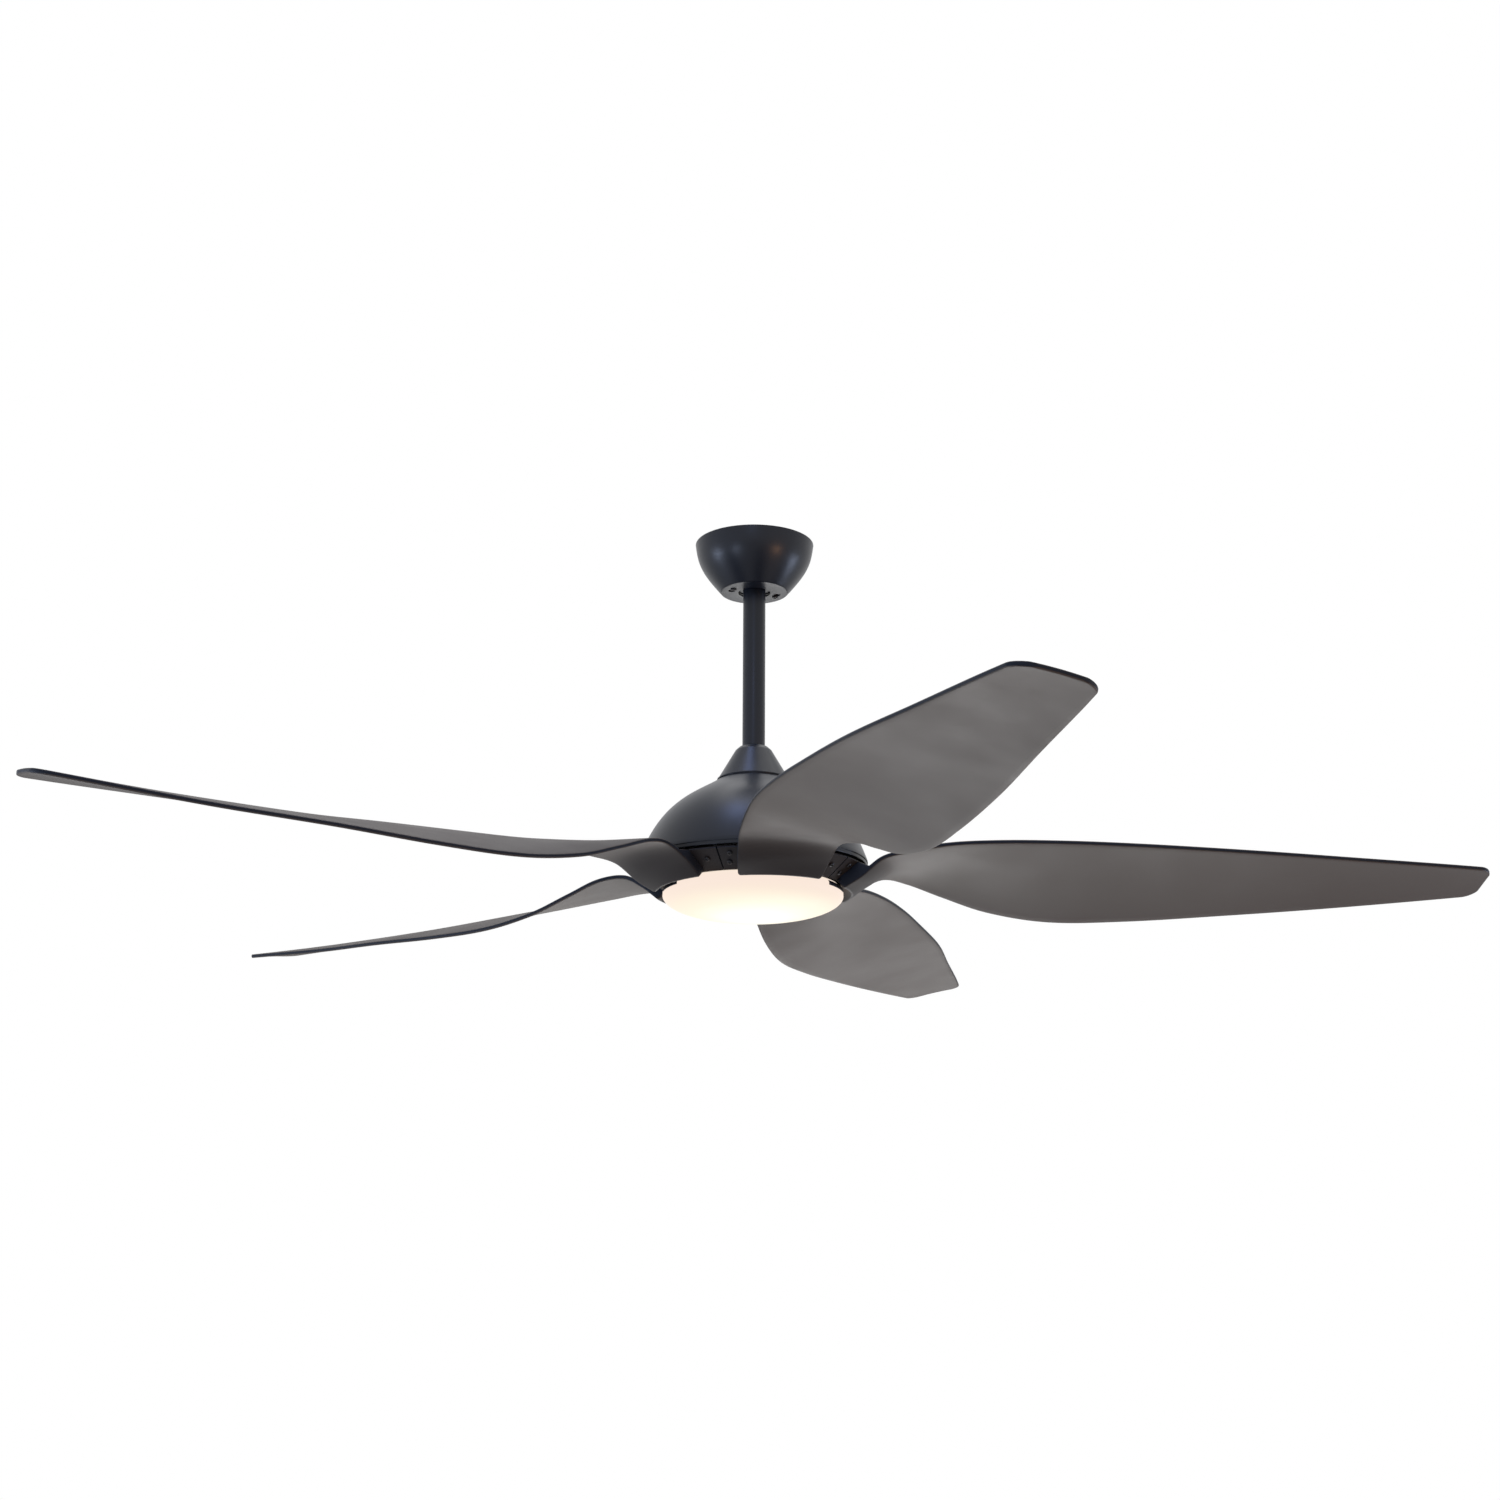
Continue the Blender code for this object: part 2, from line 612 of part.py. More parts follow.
def make_cover():
    """The cone that hides the yoke, its skirt standing in the housing's recess."""
    foot, skirt = COVER_FOOT_HEIGHT, recess_floor() + GAP
    skirt_outer = housing_neck() - GAP
    outline = [
        (skirt_outer, skirt),
        (skirt_outer, foot),
        (COVER_FOOT_RADIUS, foot),
        (COVER_FOOT_RADIUS - 0.4 * MM, foot + 1.8 * MM),
        (COVER_SHOULDER_RADIUS, COVER_SHOULDER_HEIGHT),
        (COVER_SHOULDER_RADIUS - 1.2 * MM, COVER_SHOULDER_HEIGHT + 1.4 * MM),
        (ROD_RADIUS + 1.4 * MM, COVER_TOP_HEIGHT),
        (ROD_RADIUS + GAP, COVER_TOP_HEIGHT),
        (ROD_RADIUS + GAP, COVER_TOP_HEIGHT - 3 * MM),
        (COVER_SHOULDER_RADIUS - 2 * COVER_WALL, COVER_SHOULDER_HEIGHT - 2 * MM),
        (skirt_outer - COVER_WALL, foot + MM),
        (skirt_outer - COVER_WALL, skirt),
    ]
    return turned("coupling_cover", outline, "black_paint")


# ---------------------------------------------------------------- motor
def make_shaft():
    collar_low = bearing_low() + BEARING_WIDTH + GAP
    collar_high = STATOR_FOOT - GAP
    outline = [
        (SHAFT_BORE, SHAFT_FOOT),
        (SHAFT_RADIUS, SHAFT_FOOT),
        (SHAFT_RADIUS, collar_low),
        (SHAFT_COLLAR_RADIUS, collar_low),
        (SHAFT_COLLAR_RADIUS, collar_high),
        (SHAFT_RADIUS, collar_high),
        (SHAFT_RADIUS, SHAFT_TOP),
        (SHAFT_BORE, SHAFT_TOP),
    ]
    return turned("motor_shaft", outline, "zinc_steel", SMALL_ROUND)


def bearing_low():
    """Underside of the lower bearing, just above the cup's floor."""
    return ROTOR_FOOT + CUP_FLOOR + GAP


def make_bearings():
    lows = {
        "lower_bearing": bearing_low(),
        "upper_bearing": ROTOR_TOP - ROTOR_WALL - GAP - BEARING_WIDTH,
    }
    bore, outer = SHAFT_RADIUS + GAP, BEARING_RADIUS
    return [
        tube(name, bore, outer, low, low + BEARING_WIDTH, "zinc_steel", SMALL_ROUND)
        for name, low in lows.items()
    ]


def make_rotor_covers():
    """Two pressed halves of the spinning motor case, each with its bearing's cup."""
    rim, inner = MOTOR_RADIUS, MOTOR_RADIUS - ROTOR_WALL
    cup, hub = BEARING_RADIUS + GAP, BEARING_RADIUS + GAP + ROTOR_WALL
    lip = SHAFT_COLLAR_RADIUS + RUNNING_GAP
    low = [
        (lip, ROTOR_FOOT),
        (rim - 2 * MM, ROTOR_FOOT),
        (rim, ROTOR_FOOT + 2 * MM),
        (rim, ROTOR_JOINT - GAP),
        (inner, ROTOR_JOINT - GAP),
        (inner, ROTOR_FOOT + ROTOR_WALL),
        (hub, ROTOR_FOOT + ROTOR_WALL),
        (hub, ROTOR_FOOT + CUP_FLOOR + BEARING_WIDTH),
        (cup, ROTOR_FOOT + CUP_FLOOR + BEARING_WIDTH),
        (cup, ROTOR_FOOT + CUP_FLOOR),
        (lip, ROTOR_FOOT + CUP_FLOOR),
    ]
    top = ROTOR_TOP
    high = [
        (lip, top),
        (lip, top - ROTOR_WALL),
        (cup, top - ROTOR_WALL),
        (cup, top - ROTOR_WALL - BEARING_WIDTH),
        (hub, top - ROTOR_WALL - BEARING_WIDTH),
        (hub, top - ROTOR_WALL),
        (inner, top - ROTOR_WALL),
        (inner, ROTOR_JOINT),
        (rim, ROTOR_JOINT),
        (rim, top - 3 * MM),
        (rim - 3 * MM, top),
    ]
    lower = turned("rotor_lower_cover", low, "aluminium")
    return lower, turned("rotor_upper_cover", high, "aluminium")


def make_magnets():
    outer = MOTOR_RADIUS - ROTOR_WALL - GAP
    low, high = ROTOR_FOOT + ROTOR_WALL + 2 * MM, ROTOR_TOP - ROTOR_WALL - 2 * MM
    return tube("magnet_ring", outer - MAGNET_THICKNESS, outer, low, high, "magnet")


def make_stator():
    """Toothed core, with a copper ring above and below for the coils' ends."""
    foot, top = STATOR_FOOT, STATOR_TOP
    outer = MOTOR_RADIUS - ROTOR_WALL - GAP - MAGNET_THICKNESS - RUNNING_GAP
    inner, half = outer * 0.5, STATOR_SLOT / 2
    core = tube("stator_core", SHAFT_RADIUS + GAP, outer, foot, top, "laminated_steel")
    for i in range(STATOR_TEETH):
        slot = box("slot", (inner, -half, foot - MM), (2 * outer, half, top + MM))
        slot.data.transform(Matrix.Rotation(math.tau * (i + 0.5) / STATOR_TEETH, 4, "Z"))
        cut(core, slot)
    windings = []
    for name, low in (("winding_lower", foot - GAP - WINDING_HEIGHT), ("winding_upper", top + GAP)):
        high = low + WINDING_HEIGHT
        outside, middle, bulge = outer - 5 * MM, (low + high) / 2, 2 * MM
        outline = [
            (inner + bulge, low),
            (outside - bulge, low),
            (outside, middle),
            (outside - bulge, high),
            (inner + bulge, high),
            (inner, middle),
        ]
        windings.append(turned(name, outline, "copper"))
    return [core, *windings]


def make_spacer():
    """Sleeve on the shaft between the upper bearing and the housing's plate."""
    low, high = ROTOR_TOP - ROTOR_WALL, plate_top() - PLATE_THICKNESS - GAP
    bore, outer = SHAFT_RADIUS + GAP, SHAFT_COLLAR_RADIUS
    return tube("shaft_spacer", bore, outer, low, high, "zinc_steel", SMALL_ROUND)


# ---------------------------------------------------------------- blade carrier and blades
def flange_line(depth):
    """The flange's cone moved in by depth: its top and foot points, and its outward normal."""
    top, foot = Vector(FLANGE_TOP), Vector(FLANGE_FOOT)
    along = (foot - top).normalized()
    normal = Vector((-along.y, along.x))
    return top - normal * depth, foot - normal * depth, normal


def cone_radius(depth, height):
    """Radius of the moved cone at a height."""
    top, foot, _ = flange_line(depth)
    share = (height - foot.y) / (top.y - foot.y)
    return foot.x + share * (top.x - foot.x)


def make_carrier():
    face = FLANGE_THICKNESS + GAP
    outer_top, outer_foot, _ = flange_line(face)
    _, inner_foot, _ = flange_line(face + RING_WALL)
    web_low, web_high = RING_WEB
    outline = [
        (RING_BORE, web_high),
        (RING_BORE, web_low),
        (cone_radius(face + RING_WALL, web_low), web_low),
        tuple(inner_foot),
        tuple(outer_foot),
        tuple(outer_top),
        (outer_top.x - 2 * MM, web_high),
    ]
    carrier = turned("blade_carrier", outline, "black_steel", WIDE_ROUND)
    for i in range(BLADES):
        cut_screw_holes(carrier, 360 * i / BLADES)
    return carrier


def flange_spot(angle, share):
    """A point on the flange's outside, share of the way down, and the outward normal there."""
    top, foot, normal = flange_line(0.0)
    point = top.lerp(foot, share)
    return polar(point.x, angle, point.y), polar(normal.x, angle, normal.y)


def blade_edges(share):
    """Leading angle and height, trailing angle and height, on a smooth curve through the table."""
    table = BLADE_EDGES
    i = max(k for k in range(len(table) - 1) if table[k][0] <= share or k == 0)
    width = table[i + 1][0] - table[i][0]
    t = (share - table[i][0]) / width

    def slope(k, column):
        low, high = max(k - 1, 0), min(k + 1, len(table) - 1)
        return (table[high][column] - table[low][column]) / (table[high][0] - table[low][0])

    values = []
    for column in range(1, 5):
        a, b = table[i][column], table[i + 1][column]
        ma, mb = slope(i, column) * width, slope(i + 1, column) * width
        values.append(
            (2 * t**3 - 3 * t**2 + 1) * a
            + (t**3 - 2 * t**2 + t) * ma
            + (3 * t**2 - 2 * t**3) * b
            + (t**3 - t**2) * mb
        )
    return values


def corner_inset(radius, corner):
    """How far a rounded tip corner draws the edge in at a radius."""
    depth, width = corner
    share = min(max((radius - TIP_RADIUS + depth) / depth, 0.0), 1.0)
    return width * (1 - math.sqrt(1 - share**2))


def blade_middle(radius, across):
    """Point of the blade's middle surface: across runs from 0, leading, to 1, trailing."""
    share = (radius - BLADE_ROOT_RADIUS) / (TIP_RADIUS - BLADE_ROOT_RADIUS)
    lead, lead_height, trail, trail_height = blade_edges(min(max(share, 0.0), 1.0))
    front = lead + math.degrees(corner_inset(radius, LEADING_TIP_CORNER) / radius)
    back = trail - math.degrees(corner_inset(radius, TRAILING_TIP_CORNER) / radius)
    angle = front + across * (back - front)
    place = (angle - lead) / (trail - lead)
    chord = radius * math.radians(trail - lead)
    camber = BLADE_CAMBER * chord * 4 * place * (1 - place) * min(1.0, share * 5)
    height = (lead_height + place * (trail_height - lead_height)) * MM + camber
    return polar(radius, angle, height)


def blade_normal(radius, across):
    """Upward normal of the middle surface."""
    rounded = TIP_RADIUS - TRAILING_TIP_CORNER[0]
    low = min(max(radius - MM, BLADE_ROOT_RADIUS), rounded - 2 * MM)
    high = min(radius + MM, rounded)
    out = blade_middle(high, across) - blade_middle(low, across)
    a, b = max(across - 0.02, 0), min(across + 0.02, 1)
    side = blade_middle(min(radius, rounded), b) - blade_middle(min(radius, rounded), a)
    return out.cross(side).normalized()


def blade_radii():
    reach = TIP_RADIUS - BLADE_ROOT_RADIUS
    corner = TRAILING_TIP_CORNER[0]
    radii = [BLADE_ROOT_RADIUS + reach * share for share in BLADE_STEPS]
    return radii + [TIP_RADIUS - corner * (1 - step) for step in TIP_STEPS]


def root_top(radius, middle):
    """Upper side of the root, which closes on to the flange's middle plane."""
    top, foot, _ = flange_line(FLANGE_THICKNESS / 2)
    reach = (radius - BLADE_ROOT_RADIUS) / (top.x + 2 * MM - BLADE_ROOT_RADIUS)
    line = foot.lerp(top, min(max(reach, 0.0), 1.0))
    flat = middle.xy.normalized()
    return Vector((flat.x * line.x, flat.y * line.x, line.y))


def make_blade(name, angle):
    """A moulded blade: its raised shell grows out of a thin flange that lies on the carrier."""
    bm = bmesh.new()
    half = BLADE_THICKNESS / 2
    lower, upper = [], []
    seam = FLANGE_TOP[0] + 2 * MM
    for radius in blade_radii():
        below, above = [], []
        for j in range(BLADE_ACROSS + 1):
            across = j / BLADE_ACROSS
            middle = blade_middle(radius, across)
            normal = blade_normal(radius, across) * half
            below.append(bm.verts.new(middle - normal))
            raised = root_top(radius, middle) if radius < seam else middle + normal
            above.append(bm.verts.new(raised))
        lower.append(below)
        upper.append(above)
    last = BLADE_ACROSS
    for i in range(len(lower) - 1):
        for j in range(last):
            bm.faces.new((lower[i][j], lower[i + 1][j], lower[i + 1][j + 1], lower[i][j + 1]))
            bm.faces.new((upper[i][j], upper[i][j + 1], upper[i + 1][j + 1], upper[i + 1][j]))
        bm.faces.new((lower[i][0], upper[i][0], upper[i + 1][0], lower[i + 1][0]))
        bm.faces.new((lower[i][last], lower[i + 1][last], upper[i + 1][last], upper[i][last]))
    for row in (0, -1):
        for j in range(last):
            bm.faces.new((lower[row][j], lower[row][j + 1], upper[row][j + 1], upper[row][j]))
    blade = add_object(name, bm, "pewter_abs")

    span = 360 / BLADES - math.degrees(2 * GAP / FLANGE_FOOT[0])
    inner_top, inner_foot, _ = flange_line(FLANGE_THICKNESS)
    outline = [FLANGE_TOP, FLANGE_FOOT, tuple(inner_foot), tuple(inner_top)]
    join(blade, turned("flange", outline, "pewter_abs", 9, -span / 2, span))
    cut_screw_holes(blade, 0)
    blade.data.transform(Matrix.Rotation(math.radians(angle), 4, "Z"))
    return blade


def cut_screw_holes(piece, turn):
    """The holes of one blade's screws, square to the flange."""
    for angle, share in zip(BLADE_SCREW_ANGLES, BLADE_SCREW_SHARES):
        hole = cylinder("hole", SCREW_SHANK_RADIUS + GAP, -8 * MM, 8 * MM, steps=SCREW_ROUND)
        cut(piece, aim(hole, *flange_spot(turn + angle, share)))


def make_blades():
    pieces = []
    length = FLANGE_THICKNESS + RING_WALL
    for i in range(BLADES):
        turn = 360 * i / BLADES
        pieces.append(make_blade(f"blade_{i + 1}", turn))
        for letter, angle, share in zip("abc", BLADE_SCREW_ANGLES, BLADE_SCREW_SHARES):
            name = f"blade_{i + 1}_screw_{letter}"
            piece = screw(name, SCREW_HEAD_RADIUS, SCREW_SHANK_RADIUS, length)
            spot, normal = flange_spot(turn + angle, share)
            pieces.append(aim(piece, spot + normal * 2 * GAP, normal))
    return pieces


# ---------------------------------------------------------------- light
def make_lamp_pan():
    """Pressed dish on the shaft's end, with three bayonet lugs around its rim."""
    outline = [
        (SHAFT_RADIUS + GAP, PAN_TOP),
        (SHAFT_RADIUS + GAP, PAN_TOP - PAN_THICKNESS),
        (PAN_RADIUS - PAN_THICKNESS, PAN_TOP - PAN_THICKNESS),
        (PAN_RADIUS - PAN_THICKNESS, PAN_FOOT),
        (PAN_RADIUS, PAN_FOOT),
        (PAN_RADIUS, PAN_TOP),
    ]
    pan = turned("lamp_pan", outline, "white_plastic", WIDE_ROUND)
    inner, outer = PAN_RADIUS - 0.7 * PAN_THICKNESS, PAN_RADIUS + LUG_REACH
    join(pan, *make_lugs(inner, outer, PAN_FOOT + 0.2 * MM, PAN_FOOT + LUG_HEIGHT))
    return pan


def make_lugs(inner, outer, low, high):
    """Blocks at even turns around the axis, for the bayonet between pan and diffuser."""
    outline = [(inner, low), (outer, low), (outer, high), (inner, high)]
    starts = [360 * i / LUGS - LUG_ANGLE / 2 for i in range(LUGS)]
    return [turned("lug", outline, steps=4, start=start, sweep=LUG_ANGLE) for start in starts]


def make_diffuser():
    """Opal cover: a shallow bowl with a neck, held by three tabs that rest on the pan's lugs."""
    neck_outer = LAMP_RADIUS - 4.5 * MM
    neck_inner = PAN_RADIUS + LUG_REACH + GAP + LAMP_SPARE
    neck_top = PAN_TOP - 2 * MM
    wide, foot = LAMP_RADIUS, LAMP_FOOT
    curve = ((wide, LAMP_WIDEST), (wide - 1.5 * MM, foot + 12 * MM), (0.64 * wide, foot), (0.0, foot))
    bowl = bezier(curve, 7)
    inner = wide - LAMP_WALL
    inside = [(inner, LAMP_WIDEST)] + inset(bowl, LAMP_WALL)[2::2] + [(0.0, foot + LAMP_WALL)]
    outline = [
        (neck_inner, neck_top),
        (neck_outer, neck_top),
        (neck_outer, LAMP_SHOULDER),
        (wide - 1.5 * MM, LAMP_SHOULDER),
        (wide - 0.4 * MM, LAMP_SHOULDER - 1.2 * MM),
        *bowl,
        *reversed(inside),
        (inner, LAMP_SHOULDER - LAMP_WALL),
        (neck_inner, LAMP_SHOULDER - LAMP_WALL),
    ]
    diffuser = turned("diffuser", outline, "opal", WIDE_ROUND)
    low = PAN_FOOT + LUG_HEIGHT + GAP
    join(diffuser, *make_lugs(PAN_RADIUS + GAP, neck_inner + 0.8 * MM, low, low + LUG_HEIGHT))
    return diffuser


def make_lamp_parts():
    """Ring of LEDs and its driver, with the nut and washer that hold the pan on the shaft."""
    board_top, bore = PAN_TOP - PAN_THICKNESS - GAP, SHAFT_RADIUS + GAP
    board_low, board_outer = board_top - BOARD_THICKNESS, PAN_RADIUS - 14 * MM
    board = tube(
        "led_board", BOARD_BORE, board_outer, board_low, board_top, "white_plastic", WIDE_ROUND
    )
    near, far, half = 20 * MM, RING_BORE - 8 * MM, 13 * MM
    driver_low, driver_high = (near, -half, PAN_TOP + GAP), (far, half, PAN_TOP + 14 * MM)
    driver = box("led_driver", driver_low, driver_high, "white_plastic")
    nut = cylinder("shaft_nut", SHAFT_RADIUS + 7 * MM, SHAFT_FOOT + MM, board_top, steps=6)
    nut.data.materials[0] = finish("zinc_steel")
    cut(nut, cylinder("thread", bore, SHAFT_FOOT, 0))
    washer_outer, washer_low = SHAFT_RADIUS + 8 * MM, PAN_TOP + GAP
    washer = tube(
        "pan_washer", bore, washer_outer, washer_low, PAN_TOP + 2 * MM, "zinc_steel", SMALL_ROUND
    )
    return [board, bevelled(driver, 1.5 * MM, 1), nut, washer]


def make_cable():
    """The lead inside the downrod and the shaft, beside the two cross pins."""
    beside = PIN_RADIUS + CABLE_RADIUS + 2 * GAP
    inside = SHAFT_BORE - CABLE_RADIUS - GAP
    top = BLADE_PLANE_DROP - BALL_CENTRE_DROP + ball_pin_height() + 4 * MM
    bend_top, bend_low = YOKE_PIN_HEIGHT - PIN_RADIUS, SHAFT_TOP + 2 * MM
    route = [(beside, top), (beside, (top + bend_top) / 2), (beside, bend_top)]
    for i in range(1, 6):
        t = i / 6
        ease = t * t * (3 - 2 * t)
        route.append((beside + (inside - beside) * ease, bend_top + (bend_low - bend_top) * t))
    route += [(inside, bend_low), (inside, bend_low / 2), (inside, SHAFT_FOOT + MM)]
    curve = bpy.data.curves.new("lead", "CURVE")
    curve.dimensions = "3D"
    spline = curve.splines.new("POLY")
    spline.points.add(len(route) - 1)
    for point, (y, z) in zip(spline.points, route):
        point.co = (0, y, z, 1)
    curve.bevel_depth = CABLE_RADIUS
    curve.bevel_resolution = 2
    curve.use_fill_caps = True
    lead = bpy.data.objects.new("supply_lead", curve)
    bpy.context.scene.collection.objects.link(lead)
    curve.materials.append(finish("cable"))
    return lead


# ---------------------------------------------------------------- assembly
def build():
    clear_scene()
    ceiling = add_empty("ceiling", (0, 0, 0))
    swing = add_empty("swing_centre", (0, 0, -BALL_CENTRE_DROP), ceiling)
    hub = add_empty("hub", (0, 0, BALL_CENTRE_DROP - BLADE_PLANE_DROP), swing)
    spin = add_empty("spin_axis", (0, 0, 0), hub)

    place(ceiling, make_bracket(), make_canopy(), *make_canopy_screws(), *make_receiver())

    place(swing, make_ball_seat(), make_ball(), make_rod())
    place(swing, make_pin("ball_pin", BALL_RADIUS - 6 * MM, ball_pin_height()))
    rod = ROD_RADIUS + GAP
    ball_screw = make_set_screw("ball_set_screw", rod, BALL_RADIUS - 3 * MM, BALL_SCREW_HEIGHT)
    place(swing, ball_screw)

    place(hub, make_yoke(), make_cover(), make_housing(), make_housing_plate(), *make_housing_screws())
    proud = ROD_RADIUS + YOKE_WALL + 2 * MM
    place(hub, make_pin("yoke_pin", proud, YOKE_PIN_HEIGHT))
    place(hub, make_set_screw("yoke_set_screw", rod, proud, YOKE_SCREW_HEIGHT))
    place(hub, make_shaft(), make_spacer(), *make_bearings(), *make_stator(), make_cable())
    place(hub, make_lamp_pan(), make_diffuser(), *make_lamp_parts())

    place(spin, *make_rotor_covers(), make_magnets(), make_carrier(), *make_blades())


build()
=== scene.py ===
"""Ceiling fan with light: the visible model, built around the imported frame.

Each new piece is made in metres in the frame's own space, rides on a CAD body and stands for
the CAD node that has its shape. CAD nodes whose shape is right stay and get their finish here.
Heights named hub heights are measured from the blade plane, on the spin axis.
"""

import json
import logging
import math
from collections.abc import Iterable, Sequence
from dataclasses import dataclass, field
from enum import Enum
from typing import Any

import bmesh
import bpy
from mathutils import Matrix, Vector

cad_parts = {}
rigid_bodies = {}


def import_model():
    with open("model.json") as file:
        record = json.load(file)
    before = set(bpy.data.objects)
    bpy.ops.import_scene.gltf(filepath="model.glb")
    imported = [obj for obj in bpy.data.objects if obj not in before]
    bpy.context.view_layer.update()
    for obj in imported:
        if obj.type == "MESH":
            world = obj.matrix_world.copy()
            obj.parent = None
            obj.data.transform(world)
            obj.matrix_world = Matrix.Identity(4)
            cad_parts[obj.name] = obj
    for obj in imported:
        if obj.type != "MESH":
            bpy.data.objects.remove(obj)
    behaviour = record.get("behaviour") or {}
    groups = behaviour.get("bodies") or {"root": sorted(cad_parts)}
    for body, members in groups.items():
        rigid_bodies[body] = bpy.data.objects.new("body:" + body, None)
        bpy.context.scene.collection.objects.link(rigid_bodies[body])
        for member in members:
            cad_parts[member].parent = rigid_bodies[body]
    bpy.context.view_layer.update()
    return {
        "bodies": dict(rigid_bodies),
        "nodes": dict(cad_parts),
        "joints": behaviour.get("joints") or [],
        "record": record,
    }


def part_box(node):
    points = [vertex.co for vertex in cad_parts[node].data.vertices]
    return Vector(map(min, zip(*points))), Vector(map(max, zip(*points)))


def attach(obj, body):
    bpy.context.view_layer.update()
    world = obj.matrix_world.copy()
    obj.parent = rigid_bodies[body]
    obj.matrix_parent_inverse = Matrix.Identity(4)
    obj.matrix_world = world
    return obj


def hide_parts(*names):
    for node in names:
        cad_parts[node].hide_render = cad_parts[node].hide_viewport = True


LOG = logging.getLogger("ceiling_fan")
MM = 0.001
GAP = 0.3  # clearance between touching pieces, in mm
HUB_HEIGHT = -0.414  # the blade plane, in metres
BLADES = 5
SMOOTH_SIDES = 128  # steps around a turned piece
SMALL_SIDES = 48  # steps around a screw
PEG_SIDES = 24  # steps around a drilled hole
CREASE = math.radians(32.0)  # edges sharper than this stay sharp
MERGED = 1e-7  # points closer than this, in metres, become one
LEAST = 1e-4  # shortest length that counts on a blade, in mm
UP = Vector((0, 0, 1))
Point = tuple[float, float]
Corner = tuple[float, float, float]


# ------------------------------------------------------------------ shapes
def bezier(a: Point, b: Point, c: Point, d: Point, count: int) -> list[Point]:
    """Points of a cubic curve.

    Args:
        a: First end.
        b: Control point of the first end.
        c: Control point of the last end.
        d: Last end.
        count: Number of steps.

    Returns:
        count + 1 points from a to d.
    """
    points = []
    for i in range(count + 1):
        t = i / count
        w = ((1 - t) ** 3, 3 * t * (1 - t) ** 2, 3 * t * t * (1 - t), t**3)
        points.append(tuple(sum(k * p[n] for k, p in zip(w, (a, b, c, d))) for n in (0, 1)))
    return points


def moved_in(curve: Sequence[Point], distance: float) -> list[Point]:
    """Moves an open curve to its right-hand side.

    Args:
        curve: Points of (radius, height).
        distance: How far each point moves, square to the curve.

    Returns:
        The moved points, in the same order.
    """
    last = len(curve) - 1
    moved = []
    for i, (r, z) in enumerate(curve):
        before, after = curve[max(i - 1, 0)], curve[min(i + 1, last)]
        along = Vector((after[0] - before[0], after[1] - before[1])).normalized()
        moved.append((r + along.y * distance, z - along.x * distance))
    return moved


def softened(outline: Iterable[Point | Corner], steps: int = 4) -> list[Point]:
    """Rounds the corners of a closed outline.

    Args:
        outline: Corners of (radius, height), or of (radius, height, fillet).
        steps: Number of steps in each fillet.

    Returns:
        The outline's points, with each fillet drawn as short steps.
    """
    corners = [(*c, 0.0)[:3] for c in outline]
    points = []
    for i, (r, z, fillet) in enumerate(corners):
        here = Vector((r, z))
        if fillet <= 0:
            points.append((r, z))
            continue
        before = Vector(corners[i - 1][:2]) - here
        after = Vector(corners[(i + 1) % len(corners)][:2]) - here
        half = before.angle(after) / 2
        reach = min(fillet / math.tan(half), 0.48 * before.length, 0.48 * after.length)
        start, end = here + before.normalized() * reach, here + after.normalized() * reach
        for k in range(steps + 1):
            t = k / steps
            spot = start * (1 - t) ** 2 + here * 2 * t * (1 - t) + end * t * t
            points.append((spot.x, spot.y))
    return points


def polar(radius: float, angle: float, height: float = 0.0) -> Vector:
    """Point at a radius and an angle in degrees around the fan's axis."""
    turn = math.radians(angle)
    return Vector((radius * math.cos(turn), radius * math.sin(turn), height))


def in_scene(name: str, data: bpy.types.ID) -> bpy.types.Object:
    """Puts a mesh, lamp or camera in the scene.

    Args:
        name: The object's name.
        data: What the object holds.

    Returns:
        The new object.
    """
    made = bpy.data.objects.new(name, data)
    bpy.context.scene.collection.objects.link(made)
    return made


def shade(data: bpy.types.Mesh) -> None:
    """Shades a mesh smooth, apart from its sharp edges."""
    data.shade_smooth()
    data.set_sharp_from_angle(angle=CREASE)


def new_piece(name: str, mesh: bmesh.types.BMesh) -> bpy.types.Object:
    """Makes a shown object from a bmesh.

    Args:
        name: The piece's name.
        mesh: Its shape, which is freed.

    Returns:
        The new object, in the scene.
    """
    bmesh.ops.remove_doubles(mesh, verts=mesh.verts, dist=MERGED)
    bmesh.ops.recalc_face_normals(mesh, faces=mesh.faces)
    data = bpy.data.meshes.new(name)
    mesh.to_mesh(data)
    mesh.free()
    shade(data)
    return in_scene(name, data)


def skin(mesh: bmesh.types.BMesh, rings: Sequence[list[bmesh.types.BMVert]]) -> None:
    """Joins each closed ring of points to the next with faces.

    Args:
        mesh: The mesh that the points are in.
        rings: The rings in order, each with the same number of points.
    """
    for here, there in zip(rings, rings[1:]):
        for k in range(len(here)):
            n = (k + 1) % len(here)
            mesh.faces.new((here[k], there[k], there[n], here[n]))


